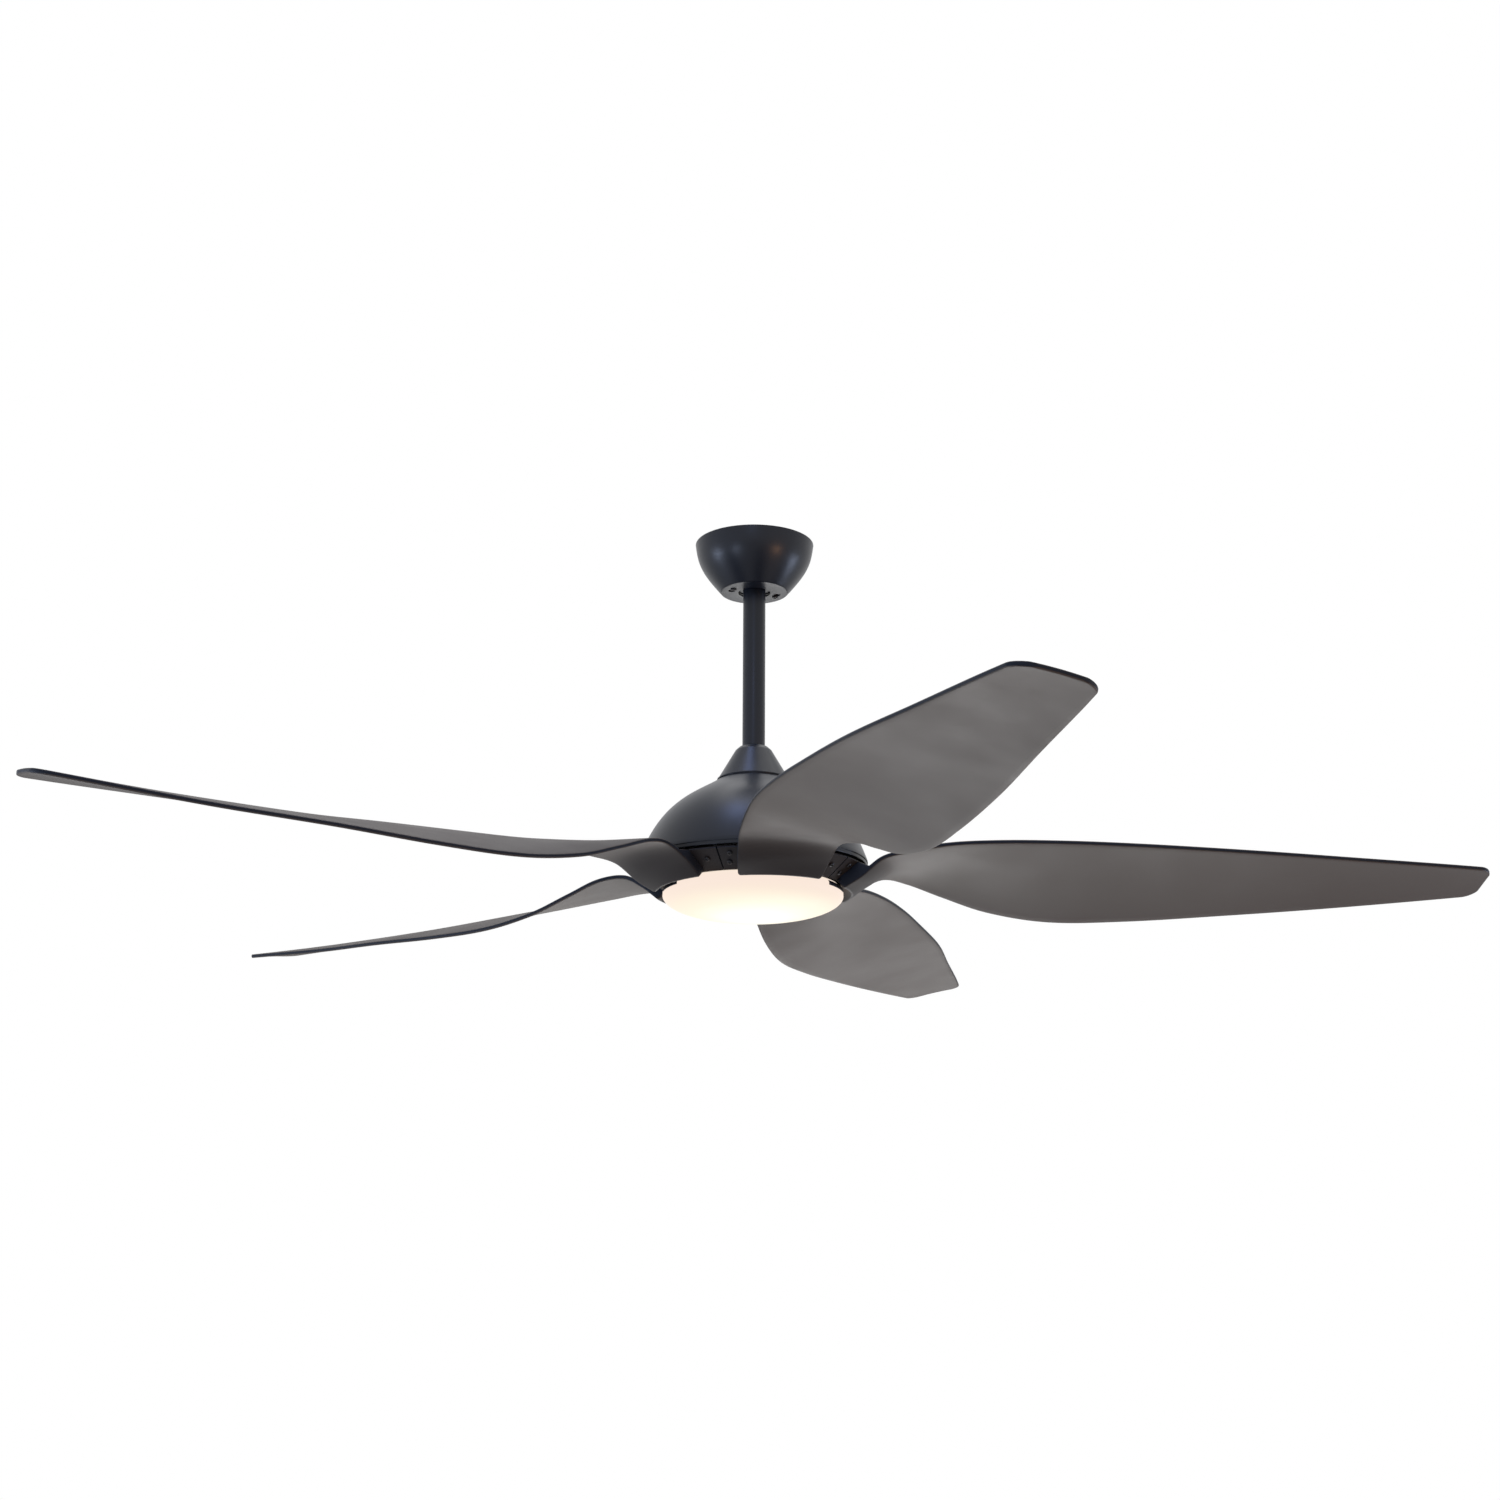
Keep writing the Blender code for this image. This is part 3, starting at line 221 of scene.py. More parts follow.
def lathe(
    name: str,
    outline: Sequence[Point],
    base: float = 0.0,
    sides: int = SMOOTH_SIDES,
    start: float = 0.0,
    sweep: float = 360.0,
) -> bpy.types.Object:
    """Turns a closed outline around the fan's axis.

    Args:
        name: The piece's name.
        outline: Points of (radius, height) in millimetres.
        base: Height of the outline's zero, in metres.
        sides: Number of steps around.
        start: Angle of the first side, in degrees.
        sweep: Angle covered, in degrees.

    Returns:
        The turned piece, closed at both ends if it is a sector.
    """
    mesh = bmesh.new()
    full = sweep >= 360.0
    rings = []
    for i in range(sides if full else sides + 1):
        angle = start + sweep * i / sides
        ring = [mesh.verts.new(polar(max(r, 0) * MM, angle, base + z * MM)) for r, z in outline]
        rings.append(ring)
    skin(mesh, rings + rings[:1] if full else rings)
    if not full:
        mesh.faces.new(rings[0])
        mesh.faces.new(rings[-1])
    bmesh.ops.remove_doubles(mesh, verts=mesh.verts, dist=MERGED)
    bmesh.ops.dissolve_degenerate(mesh, edges=mesh.edges, dist=MERGED)
    return new_piece(name, mesh)


def apply_modifiers(piece: bpy.types.Object) -> None:
    """Applies a piece's modifiers to its mesh.

    Args:
        piece: The piece, whose mesh is replaced.
    """
    bpy.context.view_layer.update()
    graph = bpy.context.evaluated_depsgraph_get()
    before, data = piece.data, bpy.data.meshes.new_from_object(piece.evaluated_get(graph))
    piece.modifiers.clear()
    piece.data = data
    bpy.data.meshes.remove(before)
    shade(data)


class Join(Enum):
    """What a tool does to a piece."""

    CUT = "DIFFERENCE"
    ADD = "UNION"


def shape(piece: bpy.types.Object, how: Join, *tools: bpy.types.Object) -> None:
    """Cuts tools from a piece or adds them, and removes them.

    Args:
        piece: The piece, which is changed.
        how: Whether to cut or add.
        tools: The shapes to cut or add.
    """
    for tool in tools:
        step = piece.modifiers.new(how.name, "BOOLEAN")
        step.object, step.operation, step.solver = tool, how.value, "EXACT"
        apply_modifiers(piece)
        bpy.data.objects.remove(tool, do_unlink=True)


def peg(spot: Vector, along: Vector, radius: float, reach: float) -> bpy.types.Object:
    """Makes a cutting cylinder.

    Args:
        spot: Its middle, in metres.
        along: The direction of its axis.
        radius: Its radius in millimetres.
        reach: Half its length in millimetres.

    Returns:
        The cylinder as an object.
    """
    outline = [(0, -reach), (radius, -reach), (radius, reach), (0, reach)]
    tool = lathe("peg", outline, sides=PEG_SIDES)
    turn = along.to_track_quat("Z", "Y").to_matrix().to_4x4()
    tool.data.transform(Matrix.Translation(spot) @ turn)
    return tool


def slab(
    name: str, low: Sequence[float], high: Sequence[float], round_by: float = 0.0
) -> bpy.types.Object:
    """Makes a block with rounded edges.

    Args:
        name: The piece's name.
        low: Its lowest corner in metres.
        high: Its highest corner in metres.
        round_by: Radius of its edges in millimetres.

    Returns:
        The block as an object.
    """
    mesh = bmesh.new()
    bmesh.ops.create_cube(mesh, size=1.0)
    for vert in mesh.verts:
        vert.co = [a + (c + 0.5) * (b - a) for a, b, c in zip(low, high, vert.co)]
    if round_by > 0:
        bmesh.ops.bevel(
            mesh, geom=mesh.edges[:], offset=round_by * MM, segments=4, profile=0.5, affect="EDGES"
        )
    return new_piece(name, mesh)


# ------------------------------------------------------------------ finishes
def linear(colour: str) -> tuple[float, float, float, float]:
    """Turns an sRGB hex colour to the linear values that a shader takes.

    Args:
        colour: Six hex digits, with or without #.

    Returns:
        Linear red, green and blue, and an alpha of 1.
    """
    digits = colour.lstrip("#")
    values = [int(digits[i : i + 2], 16) / 255 for i in (0, 2, 4)]
    lit = [v / 12.92 if v <= 0.04045 else ((v + 0.055) / 1.055) ** 2.4 for v in values]
    return (*lit, 1.0)


def add_node(
    tree: bpy.types.NodeTree,
    kind: str,
    settings: dict[str, Any] | None = None,
    inputs: dict[str | int, Any] | None = None,
) -> bpy.types.Node:
    """Adds a shader node.

    Args:
        tree: The node tree.
        kind: The node's type.
        settings: Properties to set on the node.
        inputs: Values of its sockets, or the output sockets that lead to them.

    Returns:
        The new node.
    """
    made = tree.nodes.new(kind)
    for name, value in (settings or {}).items():
        setattr(made, name, value)
    for name, value in (inputs or {}).items():
        if isinstance(value, bpy.types.NodeSocket):
            tree.links.new(value, made.inputs[name])
        else:
            made.inputs[name].default_value = value
    return made


def from_axis(tree: bpy.types.NodeTree, place: Any) -> Any:
    """Measures how far a point is from the fan's axis.

    Args:
        tree: The material's nodes.
        place: Socket with the position on the object.

    Returns:
        The socket with the distance in metres.
    """
    flat = add_node(
        tree, "ShaderNodeVectorMath", {"operation": "MULTIPLY"}, {0: place, 1: (1.0, 1.0, 0.0)}
    )
    length = add_node(
        tree, "ShaderNodeVectorMath", {"operation": "LENGTH"}, {0: flat.outputs[0]}
    )
    return length.outputs["Value"]


WAVE_RATE = 20.0  # radians in a metre of a wave texture of scale 1
STRETCH = (0.06, 0.06, 1.0)  # draws the relief out across the axis, into turning marks
PATCH_SCALE = 14.0  # soft patches in a metre, so that each is about 70 mm across
PATCH_RANGE = (0.3, 0.7)  # values that the patches mostly keep to
FLECK_SHARE = 0.6  # how strongly the relief tints, against the patches


class Grain(Enum):
    """How a finish's small relief is laid."""

    PEEL = "orange peel of a sprayed or baked coat"
    TEXTURE = "fine spark-eroded texture of a mould"
    BRUSHED = "turning or drawing marks around the axis"
    SPANGLE = "zinc crystals of hot-dip galvanising"
    SHEETS = "edges of stacked steel sheets"
    WIRE = "turns of enamelled wire"
    CAST = "grainy skin of sintered or cast stock"


@dataclass(frozen=True)
class Finish:
    """One real finish, and how the eye sees it.

    Attributes:
        name: The material's name.
        colour: Main colour, sRGB hex.
        second: Colour of its flakes, crystals or worn places.
        metallic: Share of uncoated metal.
        roughness: Middle roughness.
        spread: How far the roughness wanders over the surface.
        grain: Kind of relief.
        size: Size of the relief's cells in millimetres. Sheets and wire are 2 pi times as
            far apart.
        depth: Height of the relief in millimetres.
        specular: Specular level, 0.5 for an IOR of 1.5.
        drift: How much of the second colour shows in large soft patches.
    """

    name: str
    colour: str
    second: str
    metallic: float
    roughness: float
    spread: float
    grain: Grain
    size: float
    depth: float
    specular: float = 0.5
    drift: float = 0.15

    def relief(self, tree: bpy.types.NodeTree, place: Any) -> Any:
        """Adds the relief pattern.

        Args:
            tree: The material's nodes.
            place: Socket with the position on the object.

        Returns:
            The socket with the relief's height, from 0 to 1.
        """
        scale = 1 / (self.size * MM)
        wave = scale / WAVE_RATE
        if self.grain in (Grain.SPANGLE, Grain.CAST):
            cells = add_node(
                tree, "ShaderNodeTexVoronoi", {}, {"Vector": place, "Scale": scale}
            )
            return cells.outputs["Distance" if self.grain is Grain.CAST else "Color"]
        if self.grain is Grain.SHEETS:
            bands = {"wave_type": "BANDS", "bands_direction": "Z"}
            values = {"Vector": place, "Scale": wave, "Distortion": 0.4, "Detail": 1.0}
            return add_node(tree, "ShaderNodeTexWave", bands, values).outputs["Fac"]
        if self.grain is Grain.WIRE:
            rings = {"wave_type": "RINGS", "rings_direction": "Z"}
            values = {"Vector": place, "Scale": wave, "Distortion": 1.5, "Detail": 2.0}
            return add_node(tree, "ShaderNodeTexWave", rings, values).outputs["Fac"]
        if self.grain is Grain.BRUSHED:
            values = {"Vector": place, "Scale": STRETCH}
            place = add_node(tree, "ShaderNodeMapping", {}, values).outputs[0]
        values = {"Vector": place, "Scale": scale, "Detail": 3.0, "Roughness": 0.55}
        return add_node(tree, "ShaderNodeTexNoise", {}, values).outputs["Fac"]

    def tinted(self, tree: bpy.types.NodeTree, place: Any, colour: Any) -> Any:
        """Changes the colour in places; a plain finish leaves it.

        Args:
            tree: The material's nodes.
            place: Socket with the position on the object.
            colour: Socket with the colour so far.

        Returns:
            The socket with the final colour.
        """
        return colour

    def build(self) -> bpy.types.Material:
        """Makes the material once.

        Returns:
            The material, new or made before.
        """
        made = bpy.data.materials.get(self.name)
        if made is not None:
            return made
        made = bpy.data.materials.new(self.name)
        made.use_nodes = True
        made.diffuse_color = linear(self.colour)
        tree = made.node_tree
        shader = tree.nodes["Principled BSDF"]
        place = add_node(tree, "ShaderNodeTexCoord").outputs["Object"]
        relief = self.relief(tree, place)
        values = {"Vector": place, "Scale": PATCH_SCALE, "Detail": 4.0}
        patches = add_node(tree, "ShaderNodeTexNoise", {}, values).outputs["Fac"]
        blend = add_node(
            tree, "ShaderNodeMath", {"operation": "MULTIPLY"}, {0: patches, 1: self.drift}
        )
        flecks = add_node(
            tree,
            "ShaderNodeMath",
            {"operation": "MULTIPLY_ADD"},
            {0: relief, 1: FLECK_SHARE * self.drift, 2: blend.outputs[0]},
        )
        colour = add_node(
            tree,
            "ShaderNodeMix",
            {"data_type": "RGBA"},
            {"Factor": flecks.outputs[0], 6: linear(self.colour), 7: linear(self.second)},
        )
        rough = add_node(
            tree,
            "ShaderNodeMapRange",
            {},
            {
                "Value": patches,
                "From Min": PATCH_RANGE[0],
                "From Max": PATCH_RANGE[1],
                "To Min": self.roughness - self.spread,
                "To Max": self.roughness + self.spread,
            },
        )
        bump = add_node(
            tree,
            "ShaderNodeBump",
            {},
            {"Height": relief, "Distance": self.depth * MM, "Strength": 1.0},
        )
        final = self.tinted(tree, place, colour.outputs[2])
        tree.links.new(final, shader.inputs["Base Color"])
        tree.links.new(rough.outputs[0], shader.inputs["Roughness"])
        tree.links.new(bump.outputs[0], shader.inputs["Normal"])
        shader.inputs["Metallic"].default_value = self.metallic
        shader.inputs["Specular IOR Level"].default_value = self.specular
        return made


@dataclass(frozen=True)
class BladeLacquerWithPaintedShade(Finish):
    """Pewter lacquer, with painted shade on the flange near the hub and on the steep edge faces.

    Attributes:
        painted_edge_shade: Colour of the painted shade on the steep edge faces.
        flange: Colour of the painted shade on the flange, near the hub.
        thin: Radius in millimetres up to which the painted shade is full.
        full: Radius in millimetres from which the lacquer shows its own colour.
        steep: Slope, as the height of the face's normal, up to which the painted edge shade is
            full.
        level: Slope from which the face shows the lacquer's own colour.
    """

    painted_edge_shade: str = "#222833"
    flange: str = "#2D2929"
    thin: float = 132.0
    full: float = 182.0
    steep: float = 0.3
    level: float = 0.62

    def tinted(self, tree: bpy.types.NodeTree, place: Any, colour: Any) -> Any:
        """Paints shade on the flange by distance from the axis, and on the edges by their slope.

        Args:
            tree: The material's nodes.
            place: Socket with the position on the object.
            colour: Socket with the lacquer's own colour.

        Returns:
            The socket with the final colour.
        """
        smooth, mix = {"interpolation_type": "SMOOTHSTEP"}, {"data_type": "RGBA"}
        # Painted shade: near the hub the colour darkens to the flange colour, fading with the
        # radius.
        values = {"Value": from_axis(tree, place), 1: self.thin * MM, 2: self.full * MM}
        cover = add_node(tree, "ShaderNodeMapRange", smooth, values)
        values = {"Factor": cover.outputs[0], 6: linear(self.flange), 7: colour}
        root = add_node(tree, "ShaderNodeMix", mix, values)
        # Painted shade: steep edge faces take the dark edge colour, standing in for a dark
        # reflection.
        normal = add_node(tree, "ShaderNodeTexCoord").outputs["Normal"]
        upright = add_node(tree, "ShaderNodeSeparateXYZ", {}, {0: normal}).outputs[2]
        slope = add_node(tree, "ShaderNodeMath", {"operation": "ABSOLUTE"}, {0: upright})
        values = {"Value": slope.outputs[0], 1: self.steep, 2: self.level}
        face = add_node(tree, "ShaderNodeMapRange", smooth, values)
        values = {"Factor": face.outputs[0], 6: linear(self.painted_edge_shade), 7: root.outputs[2]}
        return add_node(tree, "ShaderNodeMix", mix, values).outputs[2]


# Baked powder coat on pressed steel, satin black with a blue cast: soft broad highlights, a
# slight orange peel about 1.5 mm across, almost no colour of its own.
POWDER_COAT = Finish(
    "satin_black_powder_coat", "#191E28", "#262C38", 0.0, 0.36, 0.03, Grain.PEEL, 1.5, 0.004, 0.3
)
# Sprayed pewter lacquer on moulded ABS: warm grey, very fine metal flakes drawn at 0.8 mm so
# that they show, and a silky sheen that follows the blade's twist. Painted shade darkens the
# flange near the hub and the steep edge faces.
PEWTER_LACQUER = BladeLacquerWithPaintedShade(
    "pewter_lacquer_on_abs", "#544E4A", "#645D59", 0.0, 0.54, 0.04, Grain.TEXTURE, 0.8, 0.004, 0.14
)
# Bright zinc plate on turned or pressed steel, with fine turning marks.
ZINC_PLATE = Finish(
    "zinc_plated_steel", "#B9BBBC", "#9A9FA6", 1.0, 0.34, 0.06, Grain.BRUSHED, 0.4, 0.01
)
# Black oxide on machined steel: dark, slightly oily, with turning marks.
BLACK_OXIDE = Finish(
    "black_oxide_steel", "#26262A", "#3A3736", 0.7, 0.42, 0.06, Grain.BRUSHED, 0.5, 0.01
)
# Varnished electrical steel, punched and stacked: thin parallel sheet edges, 0.5 mm apart in
# the real one and drawn 6 mm apart, so that they show.
LAMINATED_STEEL = Finish(
    "laminated_electrical_steel", "#6E6F74", "#4B4743", 0.9, 0.5, 0.05, Grain.SHEETS, 1.0, 0.05
)
# Enamelled copper wire, wound: amber-red varnish over the copper, turns 0.8 mm apart in the
# real one and drawn 5 mm apart.
COPPER_WIRE = Finish(
    "enamelled_copper_wire", "#B4622E", "#7E3A17", 0.9, 0.34, 0.05, Grain.WIRE, 0.8, 0.12
)
# Die-cast aluminium, shot blasted: pale, even and matt with a small pebble grain.
CAST_ALUMINIUM = Finish(
    "cast_aluminium", "#A9ABAE", "#8F9296", 1.0, 0.48, 0.05, Grain.CAST, 1.2, 0.02
)
# White moulded polycarbonate and ABS: neutral white, faint mould texture.
WHITE_PLASTIC = Finish(
    "white_moulded_plastic", "#D9D9D4", "#C6C5BE", 0.0, 0.48, 0.05, Grain.TEXTURE, 0.7, 0.005
)
# Natural nylon 6, moulded: creamy, a little translucent and waxy.
NYLON = Finish("natural_nylon", "#D8D2BE", "#C4BCA4", 0.0, 0.46, 0.04, Grain.TEXTURE, 1.0, 0.004)
# Sintered ferrite: charcoal grey, dull, grainy.
FERRITE = Finish("sintered_ferrite", "#38383B", "#4C4B4A", 0.2, 0.62, 0.05, Grain.CAST, 0.9, 0.02)
# PVC lead sheath, black, extruded and matt.
PVC_SHEATH = Finish("pvc_sheath", "#2A2A2C", "#38383A", 0.0, 0.55, 0.05, Grain.PEEL, 1.2, 0.01)
# Galvanised pressed steel: pale grey with crystals 7 mm across.
GALVANISED = Finish(
    "galvanised_steel", "#A8ACAE", "#83888C", 0.95, 0.42, 0.06, Grain.SPANGLE, 7.0, 0.002, drift=0.5
)


@dataclass(frozen=True)
class OpalAcrylic:
    """Opal acrylic lit from inside: white over the LED ring, warm towards the shoulder.

    Attributes:
        name: The material's name.
        body: Colour of the unlit plastic.
        stops: Radius in millimetres and sRGB colour of the light at that radius.
        glow: Strength of the light.
        roughness: How matt the moulded skin is.
        ior: The plastic's index of refraction.
        specular: Level of its reflections, low because the light drowns them.
        cloud: Size in millimetres of the soft unevenness of the skin.
        depth: Height of the unevenness in millimetres.
    """

    name: str = "opal_acrylic"
    body: str = "#1E1C1B"
    stops: tuple[tuple[float, str], ...] = (
        (0.0, "#FFFFFF"),
        (32.0, "#FFFFF6"),
        (50.0, "#FFFBEA"),
        (70.0, "#FFF5DF"),
        (90.0, "#FEF0DC"),
        (105.0, "#FDEADC"),
    )
    glow: float = 0.97
    roughness: float = 0.5
    ior: float = 1.49
    specular: float = 0.06
    cloud: float = 2.5
    depth: float = 0.004

    def build(self) -> bpy.types.Material:
        """Makes the material once.

        Returns:
            The material, new or made before.
        """
        made = bpy.data.materials.get(self.name)
        if made is not None:
            return made
        made = bpy.data.materials.new(self.name)
        made.use_nodes = True
        made.diffuse_color = linear(self.body)
        tree = made.node_tree
        shader = tree.nodes["Principled BSDF"]
        place = add_node(tree, "ShaderNodeTexCoord").outputs["Object"]
        widest = self.stops[-1][0]
        share = add_node(
            tree,
            "ShaderNodeMath",
            {"operation": "DIVIDE", "use_clamp": True},
            {0: from_axis(tree, place), 1: widest * MM},
        )
        ramp = add_node(tree, "ShaderNodeValToRGB", {}, {0: share.outputs[0]})
        band = ramp.color_ramp
        band.elements[0].color = linear(self.stops[0][1])
        band.elements[1].color = linear(self.stops[-1][1])
        for reach, colour in self.stops[1:-1]:
            band.elements.new(reach / widest).color = linear(colour)
        values = {"Vector": place, "Scale": 1 / (self.cloud * MM), "Detail": 2.0}
        cloud = add_node(tree, "ShaderNodeTexNoise", {}, values)
        bump = add_node(
            tree,
            "ShaderNodeBump",
            {},
            {"Height": cloud.outputs["Fac"], "Distance": self.depth * MM, "Strength": 1.0},
        )
        tree.links.new(ramp.outputs[0], shader.inputs["Emission Color"])
        tree.links.new(bump.outputs[0], shader.inputs["Normal"])
        shader.inputs["Base Color"].default_value = linear(self.body)
        shader.inputs["Emission Strength"].default_value = self.glow
        shader.inputs["Roughness"].default_value = self.roughness
        shader.inputs["IOR"].default_value = self.ior
        shader.inputs["Specular IOR Level"].default_value = self.specular
        return made


FINISH_OF_SLOT: dict[str, Finish | OpalAcrylic] = {
    "black_paint": POWDER_COAT,
    "pewter_abs": PEWTER_LACQUER,
    "opal": OpalAcrylic(),
    "zinc_steel": ZINC_PLATE,
    "black_steel": BLACK_OXIDE,
    "laminated_steel": LAMINATED_STEEL,
    "copper": COPPER_WIRE,
    "aluminium": CAST_ALUMINIUM,
    "white_plastic": WHITE_PLASTIC,
    "nylon": NYLON,
    "magnet": FERRITE,
    "cable": PVC_SHEATH,
}


# ------------------------------------------------------------------ sub-assemblies
@dataclass
class SubAssembly:
    """A group of pieces that are built and dressed together.

    Attributes:
        made: The pieces built so far.
    """

    frame: dict[str, Any]
    made: list[bpy.types.Object] = field(default_factory=list)

    def fit(
        self, piece: bpy.types.Object, body: str, slot: str, *nodes: str
    ) -> bpy.types.Object:
        """Dresses a piece and ties it to the frame.

        Args:
            piece: The piece, in place.
            body: The CAD body that it rides on.
            slot: The material slot that it takes its finish from.
            nodes: The CAD nodes that it stands for.

        Returns:
            The same piece.
        """
        piece.data.materials.clear()
        piece.data.materials.append(FINISH_OF_SLOT[slot].build())
        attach(piece, body)
        if nodes:
            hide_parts(*nodes)
        self.made.append(piece)
        LOG.info("%s rides on %s and stands for %s", piece.name, body, ", ".join(nodes) or "-")
        return piece


@dataclass
class ScrewMaker:
    """Pan-head screw with a cross recess.

    Attributes:
        head: Radius of the head.
        rise: Height of the head.
        shank: Radius of the shank.
        length: Length of the shank.
    """

    head: float = 3.0
    rise: float = 1.6
    shank: float = 1.6
    length: float = 5.5

    def build(self, name: str) -> bpy.types.Object:
        """Makes the screw along Z, its head above zero.

        Args:
            name: The piece's name.

        Returns:
            The screw, at the origin.
        """
        outline = softened(
            [
                (0, -self.length),
                (self.shank, -self.length, 0.5),
                (self.shank, 0),
                (self.head, 0, 0.15),
                (self.head * 0.96, self.rise * 0.62, 0.5),
                (self.head * 0.55, self.rise * 0.97, 0.8),
                (0, self.rise),
            ]
        )
        screw = lathe(name, outline, sides=SMALL_SIDES)
        wide, thin, deep = self.head * 0.58 * MM, self.head * 0.15 * MM, self.rise * 0.6 * MM
        top = self.rise * MM
        for a, b in ((wide, thin), (thin, wide)):
            low, high = (-a, -b, top - deep), (a, b, top + MM)
            shape(screw, Join.CUT, slab("recess", low, high))
        return screw


@dataclass
class HangerSet(SubAssembly):
    """Canopy, ball joint and downrod, in millimetres, with the ceiling at zero height.

    Attributes:
        rim: Radius of the canopy's rim.
        foot: Radius of its flat floor, before the rounding.
        depth: How far the floor lies under the ceiling.
        wall: Thickness of its sheet.
        top: Height of its rim.
        lean: How far the wall has drawn in at its first and at its second control point.
        fall: Their depths, as shares of the canopy's.
        hole: Radius of the rod's hole.
        screw_circle: Radius on which its screws stand.
        screw_angles: Their angles in degrees.
        keyhole_turn: Angle from a screw to the wide end of its keyhole.
        slot_half: Half the width of a keyhole's slot.
        slot_end: Radius of its narrow end.
        wide_end: Radius of its wide end.
        ball_centre: Height of the ball's centre.
        ball_radius: Its radius.
        ball_top: Height of its flat top over the centre, as a share of the radius.
        ball_foot: Depth of its flat foot under the centre, as a share of the radius.
        rod: Radius of the rod.
        rod_wall: Thickness of its wall.
        pin: Radius of the cross pins.
        case_clear: Gap between the ball and the receiver's case.
        case_edge: Radius of the case's edges.
        parting: Half the width of the line between the case's halves.
    """

    rim: float = 71.1
    foot: float = 40.0
    depth: float = 60.7
    wall: float = 1.5
    top: float = -0.5
    lean: tuple[float, float] = (3.0, 5.4)
    fall: tuple[float, float] = (0.376, 0.506)
    hole: float = 19.0
    screw_circle: float = 28.2
    screw_angles: tuple[float, float] = (28.0, 208.0)
    keyhole_turn: float = -13.0
    slot_half: float = 2.3
    slot_end: float = 2.29
    wide_end: float = 4.2
    ball_centre: float = -35.0
    ball_radius: float = 30.0
    ball_top: float = 0.5
    ball_foot: float = 0.753
    rod: float = 13.35
    rod_wall: float = 2.9
    pin: float = 3.0
    case_clear: float = 3.0
    case_edge: float = 1.6
    parting: float = 0.35

    def keyhole(self, angle: float) -> list[bpy.types.Object]:
        """Cutting shapes of one keyhole.

        Args:
            angle: Where its screw stands, in degrees.

        Returns:
            A narrow slot that follows the screw circle, and the wide end.
        """
        through = 2  # the cutters reach this far up and down, in mm
        low, high = -self.depth - 1, -self.depth + self.wall + 1
        near, far = self.screw_circle - self.slot_half, self.screw_circle + self.slot_half
        outline = [(near, low), (far, low), (far, high), (near, high)]
        sweep = abs(self.keyhole_turn)
        slot = lathe("slot", outline, sides=8, start=angle - sweep, sweep=sweep)
        middle = (low + high) / 2 * MM
        narrow_at = polar(self.screw_circle * MM, angle, middle)
        wide_at = polar(self.screw_circle * MM, angle + self.keyhole_turn, middle)
        narrow = peg(narrow_at, UP, self.slot_end, through)
        return [slot, narrow, peg(wide_at, UP, self.wide_end, through)]

    def build_canopy(self) -> None:
        """Bowl with a flat floor, a rod hole and two keyholes."""
        controls = [(self.rim - a, -b * self.depth) for a, b in zip(self.lean, self.fall)]
        outside = bezier((self.rim, self.top), *controls, (self.foot, -self.depth), 48)
        inside = moved_in(outside, self.wall)
        floor = -self.depth + self.wall
        inside = [p for p in inside[1:] if p[1] > floor + 1.2]
        outline = softened(
            [
                (self.rim, self.top, 0.3),
                *outside[1:-1],
                (self.foot, -self.depth, 5.0),
                (self.hole, -self.depth, 0.5),
                (self.hole, floor, 0.3),
                (inside[-1][0] - 0.5, floor, 0.8),
                *reversed(inside),
                (self.rim - self.wall, self.top, 0.3),
            ]
        )
        canopy = lathe("canopy_shell", outline, sides=160)
        for angle in self.screw_angles:
            shape(canopy, Join.CUT, *self.keyhole(angle))
        self.fit(canopy, "hanger", "black_paint", "canopy")
        maker = ScrewMaker(head=3.6, rise=1.6, shank=1.9, length=5.0)
        for i, angle in enumerate(self.screw_angles, 1):
            screw = maker.build(f"canopy_fixing_{i}")
            spot = polar(self.screw_circle * MM, angle, (-self.depth - GAP) * MM)
            # Its head hangs down, and no two crosses line up.
            turn = Matrix.Rotation(math.pi, 4, "X") @ Matrix.Rotation(0.5 * i, 4, "Z")
            screw.matrix_world = Matrix.Translation(spot) @ turn
            self.fit(screw, "hanger", "black_steel", f"canopy_screw_{i}")

    def build_ball(self) -> None:
        """Hanger ball with its groove for the cross pin."""
        bore, steps = self.rod + GAP, 32
        rise, drop = self.ball_top * self.ball_radius, self.ball_foot * self.ball_radius
        low, high = math.asin(-drop / self.ball_radius), math.asin(rise / self.ball_radius)
        side = []
        for i in range(steps + 1):
            angle = low + (high - low) * i / steps
            side.append((self.ball_radius * math.cos(angle), self.ball_radius * math.sin(angle)))
        outline = [(bore, -drop), *side, (bore, rise)]
        ball = lathe("ball", outline, self.ball_centre * MM, 96)
        half, level = (self.pin + GAP) * MM, (self.ball_centre + rise) * MM
        reach = 2 * self.ball_radius * MM
        low_corner = (-reach, -half, level - self.pin * MM)
        shape(ball, Join.CUT, slab("groove", low_corner, (reach, half, level + half)))
        self.fit(ball, "motor_frame", "black_paint", "hanger_ball")

    def build_rod(self) -> None:
        """Downrod, a painted tube with a cross hole at each end."""
        low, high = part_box("downrod")
        foot, top = low.z / MM, high.z / MM
        bore = self.rod - self.rod_wall
        outline = softened(
            [(self.rod, foot, 0.5), (self.rod, top, 0.5), (bore, top, 0.4), (bore, foot, 0.4)]
        )
        tube = lathe("downrod_tube", outline, sides=96)
        for pin in ("ball_pin", "yoke_pin"):
            a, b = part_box(pin)
            spot = (a + b) / 2
            shape(tube, Join.CUT, peg(spot, Vector((1, 0, 0)), self.pin + GAP, 2 * self.rod))
        self.fit(tube, "motor_frame", "black_paint", "downrod")

